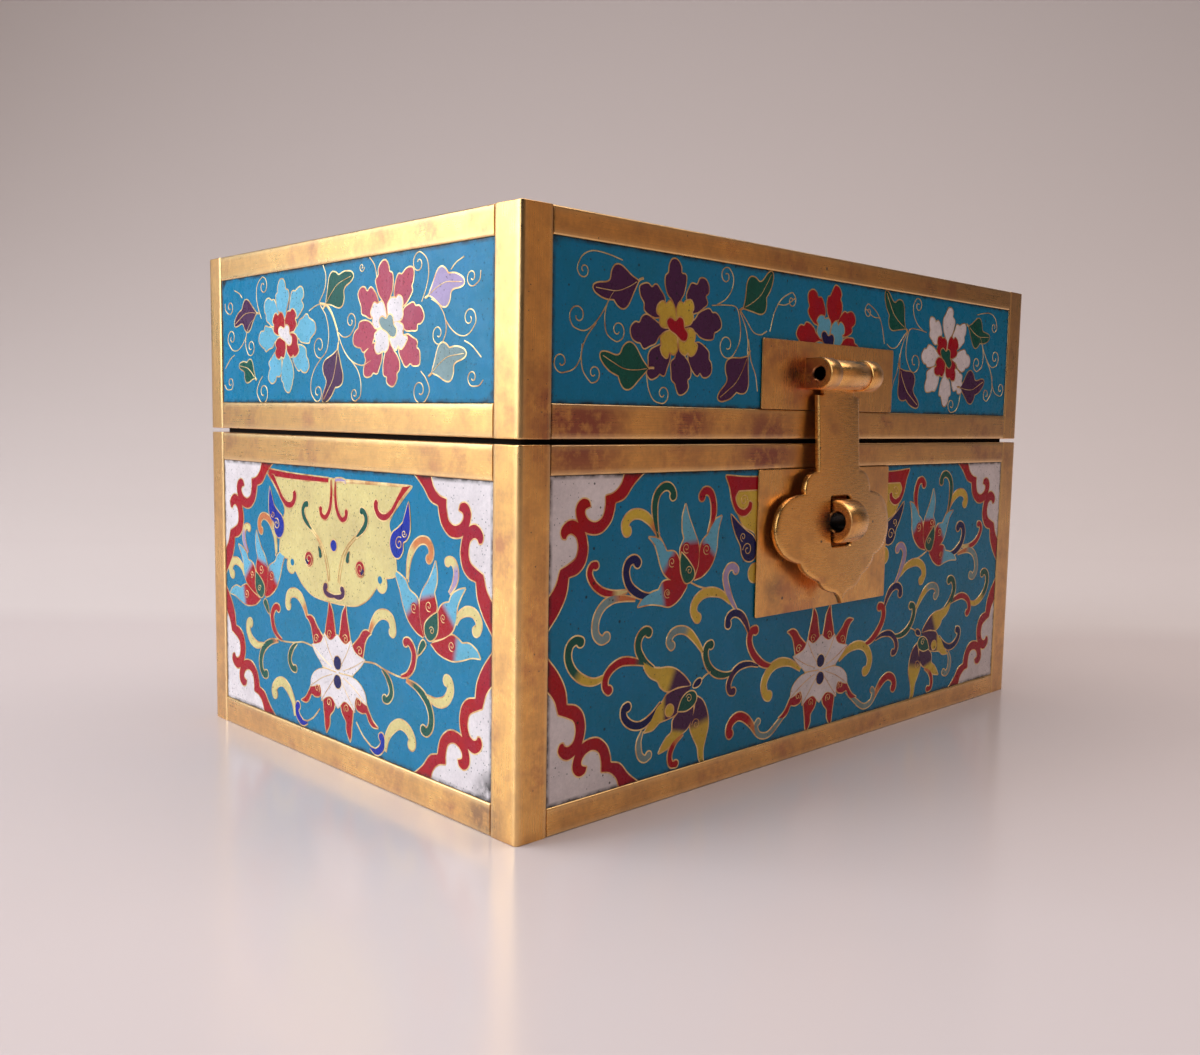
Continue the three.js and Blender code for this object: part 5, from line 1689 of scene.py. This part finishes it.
class CLOISONNE_OT_stage(bpy.types.Operator):
    """The floor that sweeps up behind the box, the lamps and the camera"""

    bl_idname = "cloisonne.stage"
    bl_label = "Stage"

    def execute(self, context):
        yaw = math.radians(44.13)
        ahead = np.array([math.sin(yaw), math.cos(yaw)])
        side = np.array([ahead[1], -ahead[0]])
        u = np.linspace(-3.0, 3.0, 40)[:, None, None]
        # Forward run, then a quarter circle up to a wall, as (forward, height) pairs.
        bend = np.radians(np.linspace(0, 90, 24))
        run = np.r_[np.linspace(-1.6, 0.25, 12)[:-1], 0.25 + 1.1 * np.sin(bend), 1.35, 1.35]
        rise = np.r_[np.zeros(11), 1.1 * (1 - np.cos(bend)), 1.6, 2.6]
        flat = run[None, :, None] * ahead + u * side
        top = np.concatenate([flat, np.broadcast_to(rise[None, :, None], flat.shape[:2] + (1,))], 2)
        rows, cols = top.shape[:2]
        mesh = bpy.data.meshes.new("floor")
        r, c = np.meshgrid(np.arange(rows - 1), np.arange(cols - 1), indexing="ij")
        a = (r * cols + c).ravel()
        mesh.from_pydata(top.reshape(-1, 3).tolist(), [],
                         np.stack([a, a + cols, a + cols + 1, a + 1], 1).tolist())
        mesh.shade_smooth()
        obj = bpy.data.objects.new("floor", mesh)
        context.scene.collection.objects.link(obj)
        made, tree, shader = new_material("Floor, gloss-painted board")
        place = millimetres(tree)
        # The board's near part is painted a little darker than the rest, with a soft line between them:
        # painted shade in place of the lamps' fall-off.
        away = node(tree, "VectorMath", {0: place, 1: (*ahead, 0.0)}, out=1, operation="DOT_PRODUCT")
        near = node(tree, "MapRange", {"Value": away, "From Min": 95.0, "From Max": 70.0, "To Max": 0.8})
        tint = layered(tree, rgba(colours()["floor"]), (near, rgba("#D3C6C5")))
        tree.links.new(tint, shader.inputs["Base Color"])
        shader.inputs["Roughness"].default_value = 0.19
        mesh.materials.append(made)

        softbox("window", (-0.75, 0.04, 0.42), (-0.065, 0.0, 0.04), (0.6, 0.6), 3.1, "#EAF5FF")
        softbox("far_window", (-0.61, 0.42, 0.34), (-0.065, -0.03, 0.05), (0.56, 0.62), 4.4, "#E4F2FF")
        softbox("overhead", (0.2, -0.01, 1.3), (0.15, -0.06, 0), (2.6, 0.9), 20.5, "#FFF5EF")
        softbox("room", (0.56, -0.76, 0.22), (0.02, -0.04, 0.04), (0.6, 0.4), 0.24, "#FFD0AE")
        context.scene.view_settings.view_transform = "Standard"
        world = bpy.data.worlds.new("room")
        context.scene.world = world
        world.use_nodes = True
        world.node_tree.nodes["Background"].inputs["Color"].default_value = rgba("#D9CCCA")
        world.node_tree.nodes["Background"].inputs["Strength"].default_value = 0.045

        camera = bpy.data.cameras.new("camera")
        camera.sensor_width, camera.lens = 36.0, 33.86
        camera.clip_start, camera.clip_end = 0.01, 20.0
        obj = bpy.data.objects.new("camera", camera)
        pitch, roll = math.radians(5.52), math.radians(0.95)
        forward = Vector((math.sin(yaw) * math.cos(pitch), math.cos(yaw) * math.cos(pitch), -math.sin(pitch)))
        right = forward.cross(Vector((0, 0, 1))).normalized()
        up = right.cross(forward)
        # The camera leans a little to one side, so its own right and up are turned about its view.
        wide = math.cos(roll) * right + math.sin(roll) * up
        tall = -math.sin(roll) * right + math.cos(roll) * up
        turn = Matrix((wide, tall, -forward)).transposed().to_4x4()
        obj.matrix_world = Matrix.Translation((-0.1536, -0.1473, 0.054)) @ turn
        context.scene.collection.objects.link(obj)
        context.scene.camera = obj
        return {"FINISHED"}


STEPS = (
    CLOISONNE_OT_stage, CLOISONNE_OT_posts, CLOISONNE_OT_rails, CLOISONNE_OT_body_panels,
    CLOISONNE_OT_lid_panels, CLOISONNE_OT_linings, CLOISONNE_OT_hasp,
    CLOISONNE_OT_staple, CLOISONNE_OT_back_hinges,
)


class CLOISONNE_PT_panel(bpy.types.Panel):
    """Lists the box's pieces with its sizes and colours"""

    bl_idname = "CLOISONNE_PT_panel"
    bl_label = "Enamel box"
    bl_space_type = "VIEW_3D"
    bl_region_type = "UI"
    bl_category = "Enamel box"

    def draw(self, context):
        for step in STEPS:
            self.layout.operator(step.bl_idname)
        for group in (context.scene.cloisonne_sizes, context.scene.cloisonne_colours):
            for name in group.__annotations__:
                self.layout.prop(group, name)


CLASSES = (CloisonneSizes, CloisonneColours, *STEPS, CLOISONNE_PT_panel)


def register():
    for kind in CLASSES:
        bpy.utils.register_class(kind)
    bpy.types.Scene.cloisonne_sizes = PointerProperty(type=CloisonneSizes)
    bpy.types.Scene.cloisonne_colours = PointerProperty(type=CloisonneColours)


def unregister():
    del bpy.types.Scene.cloisonne_colours, bpy.types.Scene.cloisonne_sizes
    for kind in reversed(CLASSES):
        bpy.utils.unregister_class(kind)


def main():
    register()
    bpy.ops.cloisonne.stage()
    bpy.ops.cloisonne.posts()
    bpy.ops.cloisonne.rails()
    bpy.ops.cloisonne.body_panels()
    bpy.ops.cloisonne.lid_panels()
    bpy.ops.cloisonne.linings()
    bpy.ops.cloisonne.hasp()
    bpy.ops.cloisonne.staple()
    bpy.ops.cloisonne.back_hinges()


if __name__ == "__main__":
    main()
